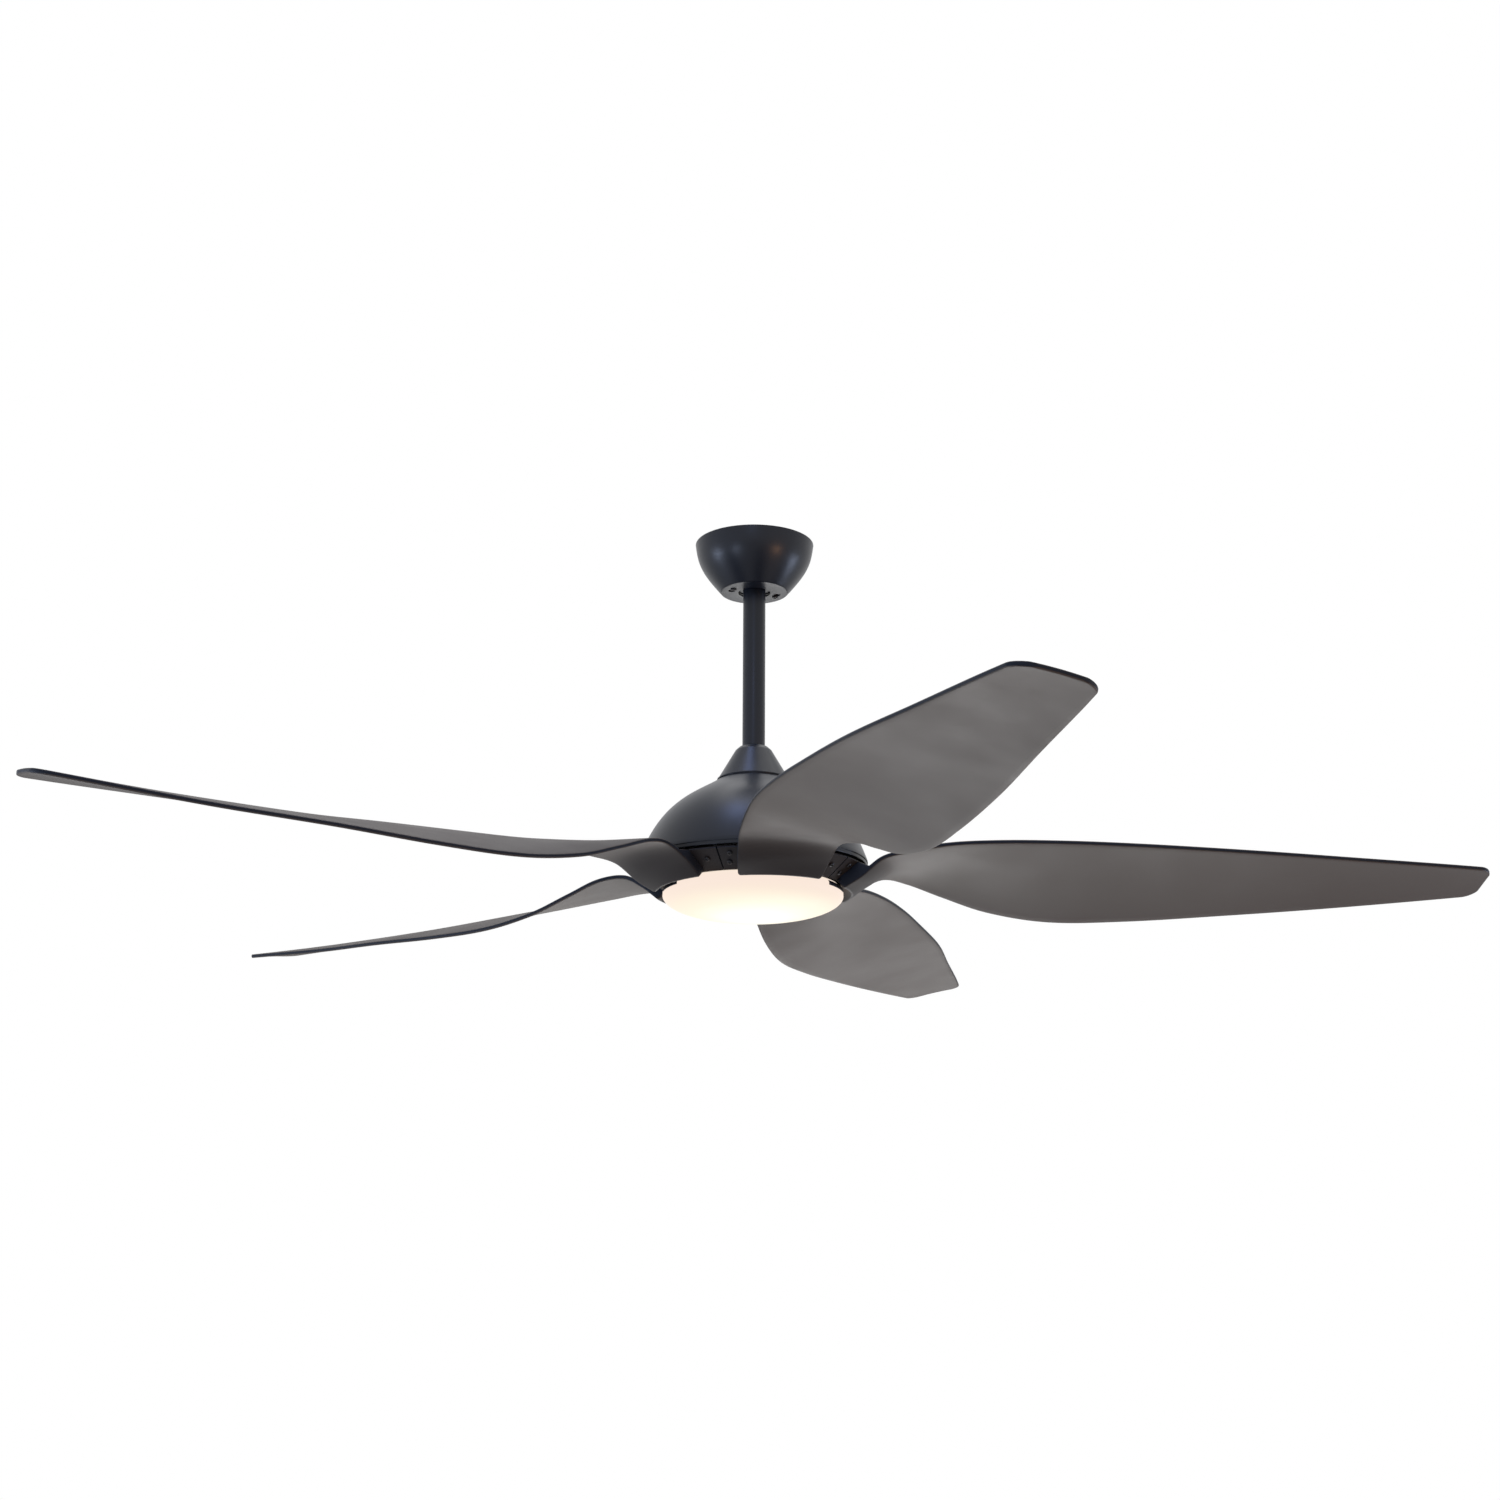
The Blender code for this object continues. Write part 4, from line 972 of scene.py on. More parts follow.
    def build_receiver(self) -> None:
        """Remote receiver: two moulded halves with a parting line, hung on a tab."""
        low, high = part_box("receiver_box")
        body_y = (self.ball_radius + self.case_clear) * MM
        middle = (low.z + high.z) / 2
        step = self.parting * MM
        lower_low, lower_high = (low.x, body_y, low.z), (high.x, high.y, middle - step)
        lower = slab("receiver_case", lower_low, lower_high, self.case_edge)
        upper_low, upper_high = (low.x, body_y, middle + step), (high.x, high.y, high.z - 1.7 * MM)
        upper = slab("upper", upper_low, upper_high, self.case_edge)
        core_low = (low.x + MM, body_y + MM, low.z + 3 * MM)
        core_high = (high.x - MM, high.y - MM, high.z - 4 * MM)
        core = slab("core", core_low, core_high)
        tab = slab("tab", (-8 * MM, low.y, -3.9 * MM), (8 * MM, body_y + 4 * MM, high.z), 0.4)
        shape(lower, Join.ADD, core, upper, tab)
        self.fit(lower, "hanger", "white_plastic", "receiver_box")

    def build(self) -> None:
        """Builds the whole set."""
        self.build_canopy()
        self.build_ball()
        self.build_rod()
        self.build_receiver()


@dataclass
class MotorHousing(SubAssembly):
    """Dome over the motor and the cone over its coupling, in hub heights.

    Attributes:
        neck: Radius of the dome's upper edge.
        rim: Radius of its rim.
        rim_height: Height of its rim.
        top: Height of its upper edge.
        out: How far out its control points lie, as shares of the way from neck to rim.
        down: How far they lie under its upper edge.
        wall: Thickness of its sheet.
        recess: Depth of the recess that the cone stands in.
        bore: Radius of the hole in the recess.
        band: Height of the band round the rim.
        band_step: How far the band stands back.
        screws: Number of screws in the recess.
        screw_hole: Radius of their holes.
        rod: Radius of the rod.
        cover_foot: Radius of the cone's rolled foot.
        cover_base: Height of the foot's underside.
        cover_shoulder: Radius of the cone's shoulder.
        cover_height: Height of the shoulder.
    """

    neck: float = 42.95
    rim: float = 134.9
    rim_height: float = 15.3
    top: float = 118.2
    out: tuple[float, float] = (0.325, 0.742)
    down: tuple[float, float] = (20.5, 27.8)
    wall: float = 1.5
    recess: float = 5.0
    bore: float = 30.75
    band: float = 4.2
    band_step: float = 0.9
    screws: int = 3
    screw_hole: float = 1.9
    rod: float = 13.35
    cover_foot: float = 42.95
    cover_base: float = 119.6
    cover_shoulder: float = 21.45
    cover_height: float = 156.0

    def build_dome(self) -> None:
        """Pressed dome with a recess for the cone's foot and a narrow band round its rim."""
        flare = self.rim - self.neck
        controls = [
            (self.neck + out * flare, self.top - down) for out, down in zip(self.out, self.down)
        ]
        curve = bezier((self.neck, self.top), *controls, (self.rim, self.rim_height), 72)
        band_top = self.rim_height + self.band
        side = [p for p in curve if p[1] > band_top + 0.4]
        edge = side[-1][0]
        inside = [p for p in moved_in(curve, self.wall) if p[1] < self.top - self.recess - 3]
        floor, seat = self.top - self.recess, self.neck - 1.2
        outline = softened(
            [
                (self.neck, self.top, 0.4),
                *side[1:],
                (edge + 0.1, band_top + 0.2, 0.3),
                (edge - self.band_step, band_top - 0.3, 0.3),
                (edge - self.band_step, self.rim_height, 0.7),
                (edge - self.band_step - self.wall, self.rim_height, 0.6),
                *[p for p in reversed(inside) if p[1] > band_top],
                (seat + 3, floor - self.wall, 0.5),
                (self.bore, floor - self.wall, 0.2),
                (self.bore, floor, 0.2),
                (seat, floor, 0.4),
                (seat, self.top, 0.3),
            ]
        )
        dome = lathe("housing_dome", outline, HUB_HEIGHT, 192)
        for i in range(1, self.screws + 1):
            low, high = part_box(f"housing_screw_{i}")
            middle = (low + high) / 2
            spot = Vector((middle.x, middle.y, HUB_HEIGHT + floor * MM))
            shape(dome, Join.CUT, peg(spot, UP, self.screw_hole, 3))
        self.fit(dome, "motor_frame", "black_paint", "upper_housing")
        maker = ScrewMaker(length=6.0)
        for i in range(1, self.screws + 1):
            screw = maker.build(f"housing_fixing_{i}")
            low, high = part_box(f"housing_screw_{i}")
            spot = Vector(((low.x + high.x) / 2, (low.y + high.y) / 2, high.z - maker.rise * MM))
            screw.matrix_world = Matrix.Translation(spot)
            self.fit(screw, "motor_frame", "zinc_steel", f"housing_screw_{i}")

    def build_cover(self) -> None:
        """Cone with a rolled foot and a rounded shoulder around the rod."""
        low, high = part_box("coupling_cover")
        base = HUB_HEIGHT / MM
        skirt, top = low.z / MM - base, high.z / MM - base
        foot, shoulder = self.cover_base, self.cover_height
        rolled, bore = self.cover_foot - 1.5, self.rod + GAP
        outline = softened(
            [
                (rolled, skirt),
                (rolled, foot),
                (self.cover_foot, foot, 0.5),
                (self.cover_foot - 0.4, foot + 1.8, 0.8),
                (self.cover_foot - 1.4, foot + 2.0, 0.6),
                (self.cover_shoulder, shoulder, 3.0),
                (bore + 3.2, top - 0.8, 2.2),
                (bore + 1.6, top, 0.5),
                (bore, top, 0.3),
                (bore, top - 3, 0.3),
                (self.cover_shoulder - 3.0, shoulder - 2, 1.0),
                (rolled - 1.5, foot + 1),
                (rolled - 1.5, skirt),
            ],
            6,
        )
        cover = lathe("coupling_cone", outline, HUB_HEIGHT)
        self.fit(cover, "motor_frame", "black_paint", "coupling_cover")

    def build(self) -> None:
        """Builds the dome, its screws and the cone."""
        self.build_dome()
        self.build_cover()


@dataclass
class BladeSet(SubAssembly):
    """Five moulded blades on a spinning carrier ring, in hub heights.

    Attributes:
        root: Radius at which a blade starts.
        tip: Radius at which it ends.
        thickness: Its thickness.
        camber: How far it bows upward, as a share of its width.
        fillet: Radius of its edges.
        lead_corner: Length and width of the rounding of its tip at the leading edge.
        trail_corner: The same at the trailing edge.
        root_corner: Radius of the corners at its root.
        flange_top: Radius and height of the upper edge of its flange.
        flange_foot: Radius and height of the flange's lower edge.
        flange_wall: Thickness of the flange.
        blend_reach: How far beyond the flange the upper side takes to close on to it.
        seam: Width of the gap between two flanges.
        across: Number of steps across a blade.
        arc_steps: Number of steps in the rounding of an edge.
        runs: Where the sections lie: first share of the way out, width of the run as a share,
            number of steps that the width is divided in, and number of sections.
        screw_angles: Angles of the flange's screws from the blade's spoke, in degrees.
        screw_shares: Their places from the flange's top to its foot, from 0 to 1.
        screw_hole: Radius of their holes.
        edges: Both edges of a blade from root to tip: share of the way out, then angle from the
            blade's own spoke in degrees and height, of the leading and of the trailing edge.
    """

    root: float = 113.0
    tip: float = 841.0
    thickness: float = 4.8
    camber: float = 0.02
    fillet: float = 1.9
    lead_corner: tuple[float, float] = (14.0, 22.0)
    trail_corner: tuple[float, float] = (16.0, 20.0)
    root_corner: float = 4.0
    flange_top: Point = (131.6, 11.0)
    flange_foot: Point = (105.0, -9.0)
    flange_wall: float = 2.5
    blend_reach: float = 14.0
    seam: float = 1.4
    across: int = 22
    arc_steps: int = 4
    runs: tuple[tuple[float, float, int, int], ...] = (
        (0.009, 0.13, 34, 35),
        (0.15, 0.33, 30, 30),
        (0.48, 0.48, 24, 24),
    )
    screw_angles: tuple[float, ...] = (-30.0, -31.0, 29.0)
    screw_shares: tuple[float, ...] = (0.25, 0.65, 0.45)
    screw_hole: float = 1.9
    edges: tuple[tuple[float, ...], ...] = (
        (0.000, -26.5, -16.5, 23.4, -15.0),
        (0.029, -25.4, -5.0, 21.2, 1.5),
        (0.065, -23.9, 14.0, 18.6, 14.5),
        (0.109, -22.0, 20.5, 18.8, 11.5),
        (0.164, -19.8, 26.8, 17.0, -2.5),
        (0.237, -17.8, 28.0, 14.8, -20.0),
        (0.335, -15.0, 26.8, 12.3, -31.0),
        (0.458, -12.0, 23.4, 9.15, -30.7),
        (0.606, -9.5, 17.5, 6.35, -25.3),
        (0.778, -6.42, 12.6, 3.6, -19.0),
        (1.000, -3.75, 5.8, 1.5, -7.6),
    )

    def edge_values(self, share: float) -> list[float]:
        """Angles and heights of both edges.

        Args:
            share: Share of the way from root to tip.

        Returns:
            Leading angle and height, trailing angle and height.
        """
        table = self.edges
        share = min(max(share, 0.0), 1.0)
        i = max(k for k in range(len(table) - 1) if table[k][0] <= share or k == 0)
        width = table[i + 1][0] - table[i][0]
        t = (share - table[i][0]) / width
        values = []
        for column in range(1, 5):
            ends = []
            for k in (i, i + 1):
                low, high = max(k - 1, 0), min(k + 1, len(table) - 1)
                rise = table[high][column] - table[low][column]
                ends.append((table[k][column], rise / (table[high][0] - table[low][0]) * width))
            (a, slope_a), (b, slope_b) = ends
            values.append(
                (2 * t**3 - 3 * t**2 + 1) * a
                + (t**3 - 2 * t**2 + t) * slope_a
                + (3 * t**2 - 2 * t**3) * b
                + (t**3 - t**2) * slope_b
            )
        return values

    def drawn_in(self, radius: float, corner: tuple[float, float]) -> float:
        """How far a rounded tip corner draws an edge in.

        Args:
            radius: Distance from the axis.
            corner: Length and width of the rounding.

        Returns:
            The distance in millimetres.
        """
        depth, width = corner
        share = min(max((radius - self.tip + depth) / depth, 0.0), 1.0)
        return width * (1 - math.sqrt(1 - share**2))

    def middle(self, radius: float, across: float) -> Vector:
        """Point of the blade's middle surface.

        Args:
            radius: Distance from the axis.
            across: Place from 0 at the leading edge to 1 at the trailing edge.

        Returns:
            The point in millimetres.
        """
        share = (radius - self.root) / (self.tip - self.root)
        lead, lead_height, trail, trail_height = self.edge_values(share)
        near = min(max((self.root + self.root_corner - radius) / self.root_corner, 0.0), 1.0)
        cut_back = self.root_corner * (1 - math.sqrt(1 - near**2))
        front = lead + math.degrees((self.drawn_in(radius, self.lead_corner) + cut_back) / radius)
        back = trail - math.degrees((self.drawn_in(radius, self.trail_corner) + cut_back) / radius)
        angle = front + across * (back - front)
        place = (angle - lead) / (trail - lead)
        chord = radius * math.radians(trail - lead)
        bow = self.camber * chord * 4 * place * (1 - place) * min(1.0, max(share, 0.0) * 5)
        return polar(radius, angle, lead_height + place * (trail_height - lead_height) + bow)

    def normal(self, radius: float, across: float) -> Vector:
        """Upward normal of the middle surface.

        Args:
            radius: Distance from the axis.
            across: Place from 0 at the leading edge to 1 at the trailing edge.

        Returns:
            The normal, of length 1.
        """
        low_limit, high_limit = self.root + self.root_corner, self.tip - self.trail_corner[0]
        at = min(max(radius, low_limit + 1), high_limit - 1)
        out = self.middle(at + 1, across) - self.middle(at - 1, across)
        step = 0.02
        a, b = max(across - step, 0), min(across + step, 1)
        return out.cross(self.middle(at, b) - self.middle(at, a)).normalized()

    def cone(self, depth: float) -> tuple[Vector, Vector, Vector]:
        """The flange's sloping face.

        Args:
            depth: How far inside the outer face.

        Returns:
            Its top and foot as radius and height, and its outward normal.
        """
        top, foot = Vector(self.flange_top), Vector(self.flange_foot)
        along = (foot - top).normalized()
        normal = Vector((-along.y, along.x))
        return top - normal * depth, foot - normal * depth, normal

    def top_side(self, radius: float, across: float) -> Vector:
        """Point of the upper side, which closes on to the flange near the root.

        Args:
            radius: Distance from the axis.
            across: Place from 0 at the leading edge to 1 at the trailing edge.

        Returns:
            The point in millimetres.
        """
        top, foot, _ = self.cone(self.flange_wall / 2)
        seam, free = self.flange_top[0], self.flange_top[0] + self.blend_reach
        if radius >= free:
            return self.middle(radius, across) + self.normal(radius, across) * self.thickness / 2
        flat = self.middle(radius, across).xy.normalized()
        line = foot.lerp(top, min(max((radius - self.root) / (seam - self.root), 0.0), 1.0))
        root = Vector((flat.x * line.x, flat.y * line.x, line.y))
        if radius <= seam:
            return root
        share = (radius - seam) / (free - seam)
        shell = self.middle(free, across) + self.normal(free, across) * self.thickness / 2
        return root.lerp(shell, share * share * (3 - 2 * share))

    def ring(self, radius: float, worn: float) -> list[Vector]:
        """Closed section of the blade at a radius.

        Args:
            radius: Distance from the axis.
            worn: How far the section has shrunk inside the rounding at a blade's end.

        Returns:
            Points in millimetres: along the underside, then back along the upper side.
        """
        lead, trail = self.middle(radius, 0), self.middle(radius, 1)
        chord = (trail - lead).length
        left = self.fillet - worn
        arcs = [math.pi / 2 * k / self.arc_steps for k in range(self.arc_steps + 1)]

        def at(inset: float, lift: float, from_top: bool, trailing: bool) -> Vector:
            """Point near an edge.

            Args:
                inset: Distance from the edge.
                lift: Distance from the lower or the upper side.
                from_top: Whether the lift is measured from the upper side.
                trailing: Whether the edge is the trailing one.

            Returns:
                The point in millimetres.
            """
            share = inset / chord
            across = 1 - share if trailing else share
            low = self.middle(radius, across)
            low = low - self.normal(radius, across) * self.thickness / 2
            high = self.top_side(radius, across)
            rise = min(lift / max((high - low).length, LEAST), 0.5)
            return high.lerp(low, rise) if from_top else low.lerp(high, rise)

        places = [left + (chord - 2 * left) * j / self.across for j in range(self.across + 1)]
        under = [at(x, worn, False, False) for x in places]
        over = [at(x, worn, True, False) for x in reversed(places)]
        curve = [(left * (1 - math.sin(a)), worn + left * (1 - math.cos(a))) for a in arcs[1:]]
        trail_low = [at(x, z, False, True) for x, z in curve]
        trail_high = [at(x, z, True, True) for x, z in reversed(curve)]
        lead_high = [at(x, z, True, False) for x, z in curve]
        lead_low = [at(x, z, False, False) for x, z in reversed(curve)]
        return under + trail_low + trail_high + over + lead_high + lead_low

    def stations(self) -> list[float]:
        """Places the sections closer together where the blade bends.

        Returns:
            The radius of each section, from root to tip.
        """
        reach, root_steps, tip_steps = self.tip - self.root, 5, 12
        arcs = [math.pi / 2 * k / self.arc_steps for k in range(self.arc_steps + 1)]
        ends = [self.fillet * (1 - math.sin(a)) for a in arcs]
        radii = [self.root + end for end in ends] + [self.tip - end for end in ends]
        steps = range(1, root_steps + 1)
        corner = [self.root + self.root_corner * k / root_steps for k in steps]
        radii += [r for r in corner if r > self.root + self.fillet + 0.1]
        deepest = max(self.lead_corner[0], self.trail_corner[0])
        shares = [a + b * k / n for a, b, n, count in self.runs for k in range(count)]
        radii += [self.root + reach * s for s in shares if reach * (1 - s) > deepest + 2]
        turns = [math.pi / 2 * k / tip_steps for k in range(tip_steps)]
        radii += [self.tip - self.fillet - (deepest - self.fillet) * math.cos(a) for a in turns]
        kept = []
        for radius in sorted(radii):
            if not kept or radius > kept[-1] + LEAST:
                kept.append(radius)
        return kept

    def build_shell(self) -> bpy.types.Object:
        """Makes the first blade: raised shell, flange and screw holes in one.

        Returns:
            The blade on its spoke, in metres.
        """
        mesh = bmesh.new()
        scale = Matrix.Translation((0, 0, HUB_HEIGHT)) @ Matrix.Scale(MM, 4)
        rings = []
        for radius in self.stations():
            from_end = min(radius - self.root, self.tip - radius)
            gone = max(self.fillet - from_end, 0.0) / self.fillet
            worn = self.fillet * (1 - math.sqrt(max(1 - gone**2, 0.0)))
            points = self.ring(radius, min(worn, self.fillet - LEAST))
            rings.append([mesh.verts.new(scale @ p) for p in points])
        skin(mesh, rings)
        for end in (rings[0], rings[-1]):
            self.close_end(mesh, end)
        shell = new_piece("blade_shell_1", mesh)

        span = 360 / BLADES - math.degrees(self.seam / self.flange_foot[0])
        inner_top, inner_foot, _ = self.cone(self.flange_wall)
        outer = [(*self.flange_top, 0.5), (*self.flange_foot, 0.5)]
        face = softened([*outer, (*inner_foot, 0.3), (*inner_top, 0.3)])
        flange = lathe("flange", face, HUB_HEIGHT, 40, -span / 2, span)
        shape(shell, Join.ADD, flange)
        for angle, share in zip(self.screw_angles, self.screw_shares):
            spot, along = self.screw_place(angle, share)
            shape(shell, Join.CUT, peg(spot, along, self.screw_hole, 8))
        return shell

    def close_end(self, mesh: bmesh.types.BMesh, ring: list[bmesh.types.BMVert]) -> None:
        """Closes an end of the blade with a strip of faces between its two sides.

        Args:
            mesh: The blade's mesh.
            ring: The points of its first or last section.
        """
        n, arcs = self.across, self.arc_steps
        under = ring[: n + 1]
        over = ring[n + 1 + 2 * arcs : 2 * n + 2 + 2 * arcs][::-1]
        trail = ring[n + 1 : n + 1 + 2 * arcs]
        lead = ring[2 * n + 2 + 2 * arcs :]
        for j in range(n):
            mesh.faces.new((under[j], under[j + 1], over[j + 1], over[j]))
        mesh.faces.new((under[n], *trail, over[n]))
        mesh.faces.new((over[0], *lead, under[0]))

    def screw_place(self, angle: float, share: float) -> tuple[Vector, Vector]:
        """Finds where a blade screw meets the flange.

        Args:
            angle: Where the screw stands, in degrees.
            share: Its place from the flange's top to its foot, from 0 to 1.

        Returns:
            The place in metres, and the outward direction there.
        """
        top, foot, normal = self.cone(0.0)
        point = top.lerp(foot, share)
        spot = polar(point.x * MM, angle, HUB_HEIGHT + point.y * MM)
        return spot, polar(normal.x, angle, normal.y)

    def build(self) -> None:
        """Builds one blade, copies it round the axis and adds the screws."""
        first = self.build_shell()
        shells = [first]
        for i in range(1, BLADES):
            data = first.data.copy()
            data.transform(Matrix.Rotation(math.tau * i / BLADES, 4, "Z"))
            shells.append(in_scene(f"blade_shell_{i + 1}", data))
        for i, shell in enumerate(shells, 1):
            self.fit(shell, "rotor", "pewter_abs", f"blade_{i}")
        pattern = ScrewMaker().build("blade_fixing")
        for i in range(BLADES):
            for letter, angle, share in zip("abc", self.screw_angles, self.screw_shares):
                screw = in_scene(f"blade_{i + 1}_fixing_{letter}", pattern.data.copy())
                spot, along = self.screw_place(angle + 360 * i / BLADES, share)
                turn = along.to_track_quat("Z", "Y").to_matrix().to_4x4()
                twist = Matrix.Rotation(0.7 * i + angle, 4, "Z")  # no two crosses line up
                lift = Matrix.Translation(spot + along * 2 * GAP * MM)
                screw.matrix_world = lift @ turn @ twist
                self.fit(screw, "rotor", "black_steel", f"blade_{i + 1}_screw_{letter}")
        bpy.data.objects.remove(pattern, do_unlink=True)


@dataclass
class LightKit(SubAssembly):
    """Opal diffuser under the hub, in hub heights.

    Attributes:
        radius: Radius of the diffuser.
        widest: Height at which it is widest.
        shoulder: Height of its shoulder.
        foot: Height of its lowest point.
        flat: Radius of its flat underside, as a share of its own.
        wall: Thickness of the moulding.
        neck_outer: Outer radius of its neck.
        neck_inner: Inner radius of its neck.
        neck_top: Height of the neck's edge.
        tabs: Number of bayonet tabs.
        tab_low: Height of a tab's underside.
        tab_height: Height of a tab.
        tab_angle: Angle that a tab covers, in degrees.
        pan_radius: Radius of the lamp pan that the tabs hold on to.
        shadow_gap_angles: Angles of the black pieces that stand in for the shadow gap, in degrees.
        shadow_gap_sweep: Angle that one of these painted-shade pieces covers, in degrees.
        shadow_gap_reach: How far such a piece stands out from the shoulder.
        shadow_gap_depth: Height of such a piece.
    """

    radius: float = 104.5
    widest: float = -19.0
    shoulder: float = -10.8
    foot: float = -43.5
    flat: float = 0.64
    wall: float = 2.2
    neck_outer: float = 100.0
    neck_inner: float = 98.0
    neck_top: float = -8.0
    tabs: int = 3
    tab_low: float = -12.1
    tab_height: float = 1.6
    tab_angle: float = 16.0
    pan_radius: float = 96.0
    shadow_gap_angles: tuple[float, ...] = (-22.0, -158.0, 90.0)
    shadow_gap_sweep: float = 25.0
    shadow_gap_reach: float = 0.55
    shadow_gap_depth: float = 5.8

    def build(self) -> None:
        """Shallow bowl with a soft shoulder and a neck that carries three bayonet tabs."""
        start, end = (self.radius, self.widest), (0.0, self.foot)
        second, third = (self.radius - 1.5, self.foot + 12), (self.flat * self.radius, self.foot)
        bowl = bezier(start, second, third, end, 56)
        inside = moved_in(bowl, self.wall)
        inner = self.radius - self.wall
        outline = softened(
            [
                (self.neck_inner, self.neck_top, 0.4),
                (self.neck_outer, self.neck_top, 0.5),
                (self.neck_outer, self.shoulder, 0.6),
                (self.radius - 1.5, self.shoulder, 1.6),
                (self.radius - 0.2, self.shoulder - 2.2, 1.6),
                *bowl,
                (0.0, self.foot + self.wall),
                *reversed(inside[1:-1]),
                (inner, self.widest),
                (inner, self.shoulder - self.wall, 1.0),
                (self.neck_inner, self.shoulder - self.wall, 0.5),
            ]
        )
        bowl_piece = lathe("opal_diffuser", outline, HUB_HEIGHT, 192)
        low, high = self.tab_low, self.tab_low + self.tab_height
        near, far = self.pan_radius + GAP, self.neck_inner + 0.8
        for i in range(self.tabs):
            face = softened([(near, low, 0.3), (far, low), (far, high), (near, high, 0.3)])
            begin = 360 / self.tabs * i - self.tab_angle / 2
            tab = lathe("tab", face, HUB_HEIGHT, 16, begin, self.tab_angle)
            shape(bowl_piece, Join.ADD, tab)
        self.fit(bowl_piece, "light_cover", "opal", "diffuser")
        self.build_shadow_gaps()

    def build_shadow_gaps(self) -> None:
        """Black pieces round the diffuser's shoulder, painted shade standing in for its shadow gap.
        """
        top, edge = self.shoulder + 0.25, self.radius + self.shadow_gap_reach
        low = top - self.shadow_gap_depth
        face = softened(
            [
                (self.neck_outer + 0.3, top, 0.2),
                (self.radius - 1.4, top, 0.9),
                (edge, top - 2.6, 1.2),
                (edge, low, 0.3),
                (self.radius - 1.6, low, 0.3),
                (self.neck_outer + 0.3, top - 1.2, 0.2),
            ]
        )
        # Each black piece is painted shade: a dark stand-in for the shadow gap above the diffuser's
        # shoulder.
        for i, angle in enumerate(self.shadow_gap_angles, 1):
            begin = angle - self.shadow_gap_sweep / 2
            gap_shade_piece = lathe(f"diffuser_shadow_gap_{i}", face, HUB_HEIGHT, 24, begin, self.shadow_gap_sweep)
            self.fit(gap_shade_piece, "light_cover", "black_paint")


@dataclass
class KeptPieces(SubAssembly):
    """CAD nodes whose shape is right: each gets the finish of its slot.

    Attributes:
        special: Nodes with a finish of their own, and that finish.
    """

    special: dict[str, Finish] = field(default_factory=lambda: {"hanger_bracket": GALVANISED})

    def build(self) -> None:
        """Dresses every CAD node that no new piece stands for."""
        slots = {s["node"]: s["material_slot"] for s in self.frame["record"]["subparts"]}
        for name, node in self.frame["nodes"].items():
            if node.hide_render:
                continue
            finish = self.special.get(name, FINISH_OF_SLOT[slots[name]]).build()
            if not node.material_slots:
                node.data.materials.append(finish)
            for place in node.material_slots:
                place.material = finish
            LOG.info("%s keeps its CAD shape", name)


# ------------------------------------------------------------------ studio
@dataclass
class Lamp:
    """A soft square lamp.

    Attributes:
        name: Its name.
        spot: Where it hangs, in metres.
        aim: The point that it faces.
        side: Length of its sides.
        power: Its power in watts.
        colour: Its colour, sRGB hex.
    """

    name: str
    spot: tuple[float, float, float]
    aim: tuple[float, float, float]
    side: float
    power: float
    colour: str = "#FFFFFF"

    def build(self) -> None:
        """Hangs the lamp, hidden from the camera."""
        data = bpy.data.lights.new(self.name, "AREA")
        data.shape, data.size, data.energy = "SQUARE", self.side, self.power
        data.color = linear(self.colour)[:3]
        lamp = in_scene(self.name, data)
        lamp.location = self.spot
        facing = Vector(self.aim) - Vector(self.spot)
        lamp.rotation_euler = facing.to_track_quat("-Z", "Y").to_euler()
        lamp.visible_camera = False


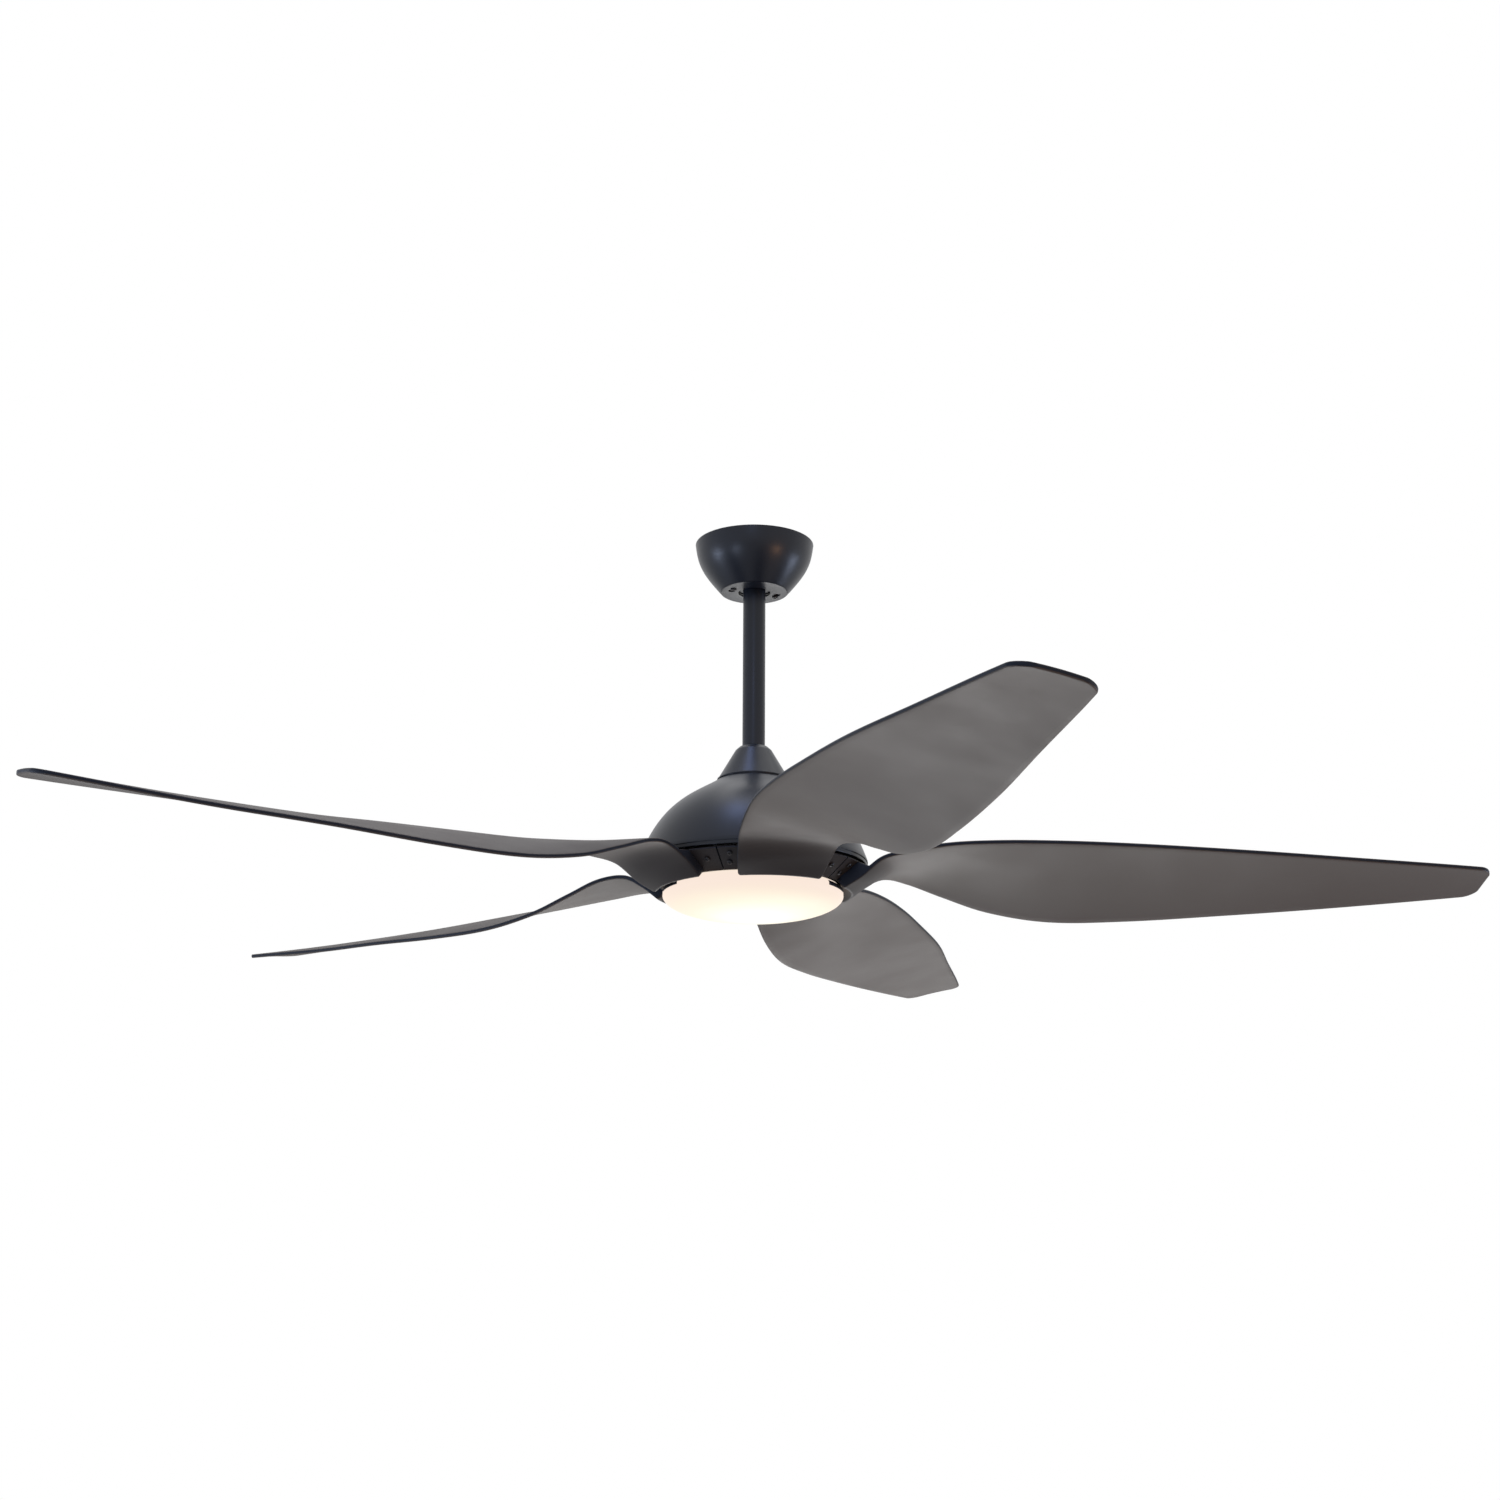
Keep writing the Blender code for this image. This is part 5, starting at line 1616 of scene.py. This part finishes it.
@dataclass
class Studio:
    """Camera, lamps, floor and world.

    Attributes:
        lens: Focal length in millimetres.
        sensor: Width of the camera's sensor in millimetres.
        clip: Nearest and furthest distance that the camera sees, in metres.
        camera_spot: Where the camera stands, in metres.
        pitch: How far it looks up, in degrees.
        yaw: How far it looks to the right, in degrees.
        roll: How far it leans, in degrees.
        floor_height: Height of the floor, in metres.
        floor_side: Length of its sides, in metres.
        floor_colour: Its colour, sRGB hex.
        floor_light: What the floor adds to its own colour where it is seen directly.
        fill: Strength of the world as a light.
        lamps: The lamps.
    """

    lens: float = 51.81
    sensor: float = 36.0
    clip: tuple[float, float] = (0.05, 100.0)
    camera_spot: tuple[float, float, float] = (0.0, -2.4488, -0.9369)
    pitch: float = 15.527
    yaw: float = -0.1
    roll: float = 0.288
    floor_height: float = -3.2
    floor_side: float = 24.0
    floor_colour: str = "#B4B4B2"
    floor_light: float = 0.62
    fill: float = 0.13
    lamps: tuple[Lamp, ...] = (
        Lamp("from_below", (-0.2, 1.4, -2.4), (0.0, 0.0, -0.4), 1.6, 16.0),
        Lamp("from_behind", (0.4, 3.0, -2.3), (0.0, 0.0, -0.4), 1.2, 32.0),
        Lamp("from_above", (0.3, 0.6, 2.6), (0.0, 0.0, 0.0), 2.6, 34.0),
        Lamp("over_dome", (-0.45, -0.65, 2.0), (0.0, 0.0, -0.3), 0.7, 14.0, "#A9C0FF"),
        Lamp("front", (-0.25, -3.0, 0.6), (0.0, 0.0, -0.2), 0.4, 5.0, "#A9C0FF"),
        Lamp("left", (-2.35, -0.2, -0.85), (0.0, 0.0, -0.03), 0.5, 18.0, "#C4D3F2"),
        Lamp("front_left", (-1.43, -1.68, -1.15), (0.0, 0.0, -0.03), 0.4, 8.0, "#C4D3F2"),
        Lamp("right", (2.2, 0.35, -1.0), (0.0, 0.0, -0.03), 0.5, 16.0, "#C4D3F2"),
        Lamp("front_right", (1.7, -1.5, -1.1), (0.0, 0.0, -0.03), 0.35, 9.0, "#FFC090"),
    )

    def build_camera(self) -> None:
        """Camera that looks up at the fan from in front and below."""
        data = bpy.data.cameras.new("camera")
        data.lens, data.sensor_width = self.lens, self.sensor
        data.clip_start, data.clip_end = self.clip
        camera = in_scene("camera", data)
        pitch, yaw, roll = (math.radians(a) for a in (self.pitch, self.yaw, self.roll))
        look = Vector(
            (
                math.sin(yaw) * math.cos(pitch),
                math.cos(yaw) * math.cos(pitch),
                math.sin(pitch),
            )
        )
        right = look.cross(UP).normalized()
        up = right.cross(look)
        side = right * math.cos(roll) + up * math.sin(roll)
        top = up * math.cos(roll) - right * math.sin(roll)
        camera.matrix_world = Matrix.Translation(self.camera_spot) @ Matrix(
            (
                (side.x, top.x, -look.x, 0),
                (side.y, top.y, -look.y, 0),
                (side.z, top.z, -look.z, 0),
                (0, 0, 0, 1),
            )
        )
        bpy.context.scene.camera = camera

    def build_world(self) -> None:
        """White wherever the camera or a reflection sees it, dim as a light."""
        world = bpy.data.worlds.new("studio_white")
        bpy.context.scene.world = world
        world.use_nodes = True
        tree = world.node_tree
        tree.nodes.clear()
        seen = self.seen_directly(tree)
        values = {"Value": seen, "To Min": self.fill, "To Max": 1.0}
        strength = add_node(tree, "ShaderNodeMapRange", {}, values)
        values = {"Color": (1, 1, 1, 1), "Strength": strength.outputs[0]}
        glow = add_node(tree, "ShaderNodeBackground", {}, values)
        add_node(tree, "ShaderNodeOutputWorld", {}, {"Surface": glow.outputs[0]})

    def seen_directly(self, tree: bpy.types.NodeTree) -> Any:
        """Tells the rays that see a thing from those that only light something else.

        Args:
            tree: The nodes of the material or world.

        Returns:
            The socket that is 1 on camera, glossy and transmission rays.
        """
        rays = add_node(tree, "ShaderNodeLightPath").outputs
        either = {"operation": "MAXIMUM"}
        values = {0: rays["Is Camera Ray"], 1: rays["Is Glossy Ray"]}
        first = add_node(tree, "ShaderNodeMath", either, values)
        values = {0: first.outputs[0], 1: rays["Is Transmission Ray"]}
        return add_node(tree, "ShaderNodeMath", either, values).outputs[0]

    def build_floor(self) -> None:
        """Wide pale floor, which keeps the fan's shadow."""
        half = self.floor_side / 2
        mesh = bmesh.new()
        corners = ((-half, -half), (half, -half), (half, half), (-half, half))
        mesh.faces.new([mesh.verts.new((x, y, self.floor_height)) for x, y in corners])
        floor = new_piece("studio_floor", mesh)
        material = bpy.data.materials.new("pale_floor")
        material.use_nodes = True
        tree = material.node_tree
        tree.nodes.clear()
        own = add_node(tree, "ShaderNodeBsdfDiffuse", {}, {"Color": linear(self.floor_colour)})
        values = {"Color": (1, 1, 1, 1), "Strength": self.floor_light}
        light = add_node(tree, "ShaderNodeEmission", {}, values)
        both = add_node(tree, "ShaderNodeAddShader", {}, {0: own.outputs[0], 1: light.outputs[0]})
        values = {0: self.seen_directly(tree), 1: own.outputs[0], 2: both.outputs[0]}
        mixed = add_node(tree, "ShaderNodeMixShader", {}, values)
        add_node(tree, "ShaderNodeOutputMaterial", {}, {"Surface": mixed.outputs[0]})
        floor.data.materials.append(material)

    def build(self) -> None:
        """Builds the studio."""
        bpy.context.scene.view_settings.view_transform = "Standard"
        self.build_camera()
        self.build_world()
        self.build_floor()
        for lamp in self.lamps:
            lamp.build()


def main() -> None:
    """Loads the frame, then builds the studio and each sub-assembly."""
    logging.basicConfig(level=logging.INFO, format="%(name)s: %(message)s")
    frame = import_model()
    Studio().build()
    for maker in (HangerSet, MotorHousing, BladeSet, LightKit, KeptPieces):
        part = maker(frame)
        part.build()
        LOG.info("%s: %d new pieces", maker.__name__, len(part.made))


if __name__ == "__main__":
    main()
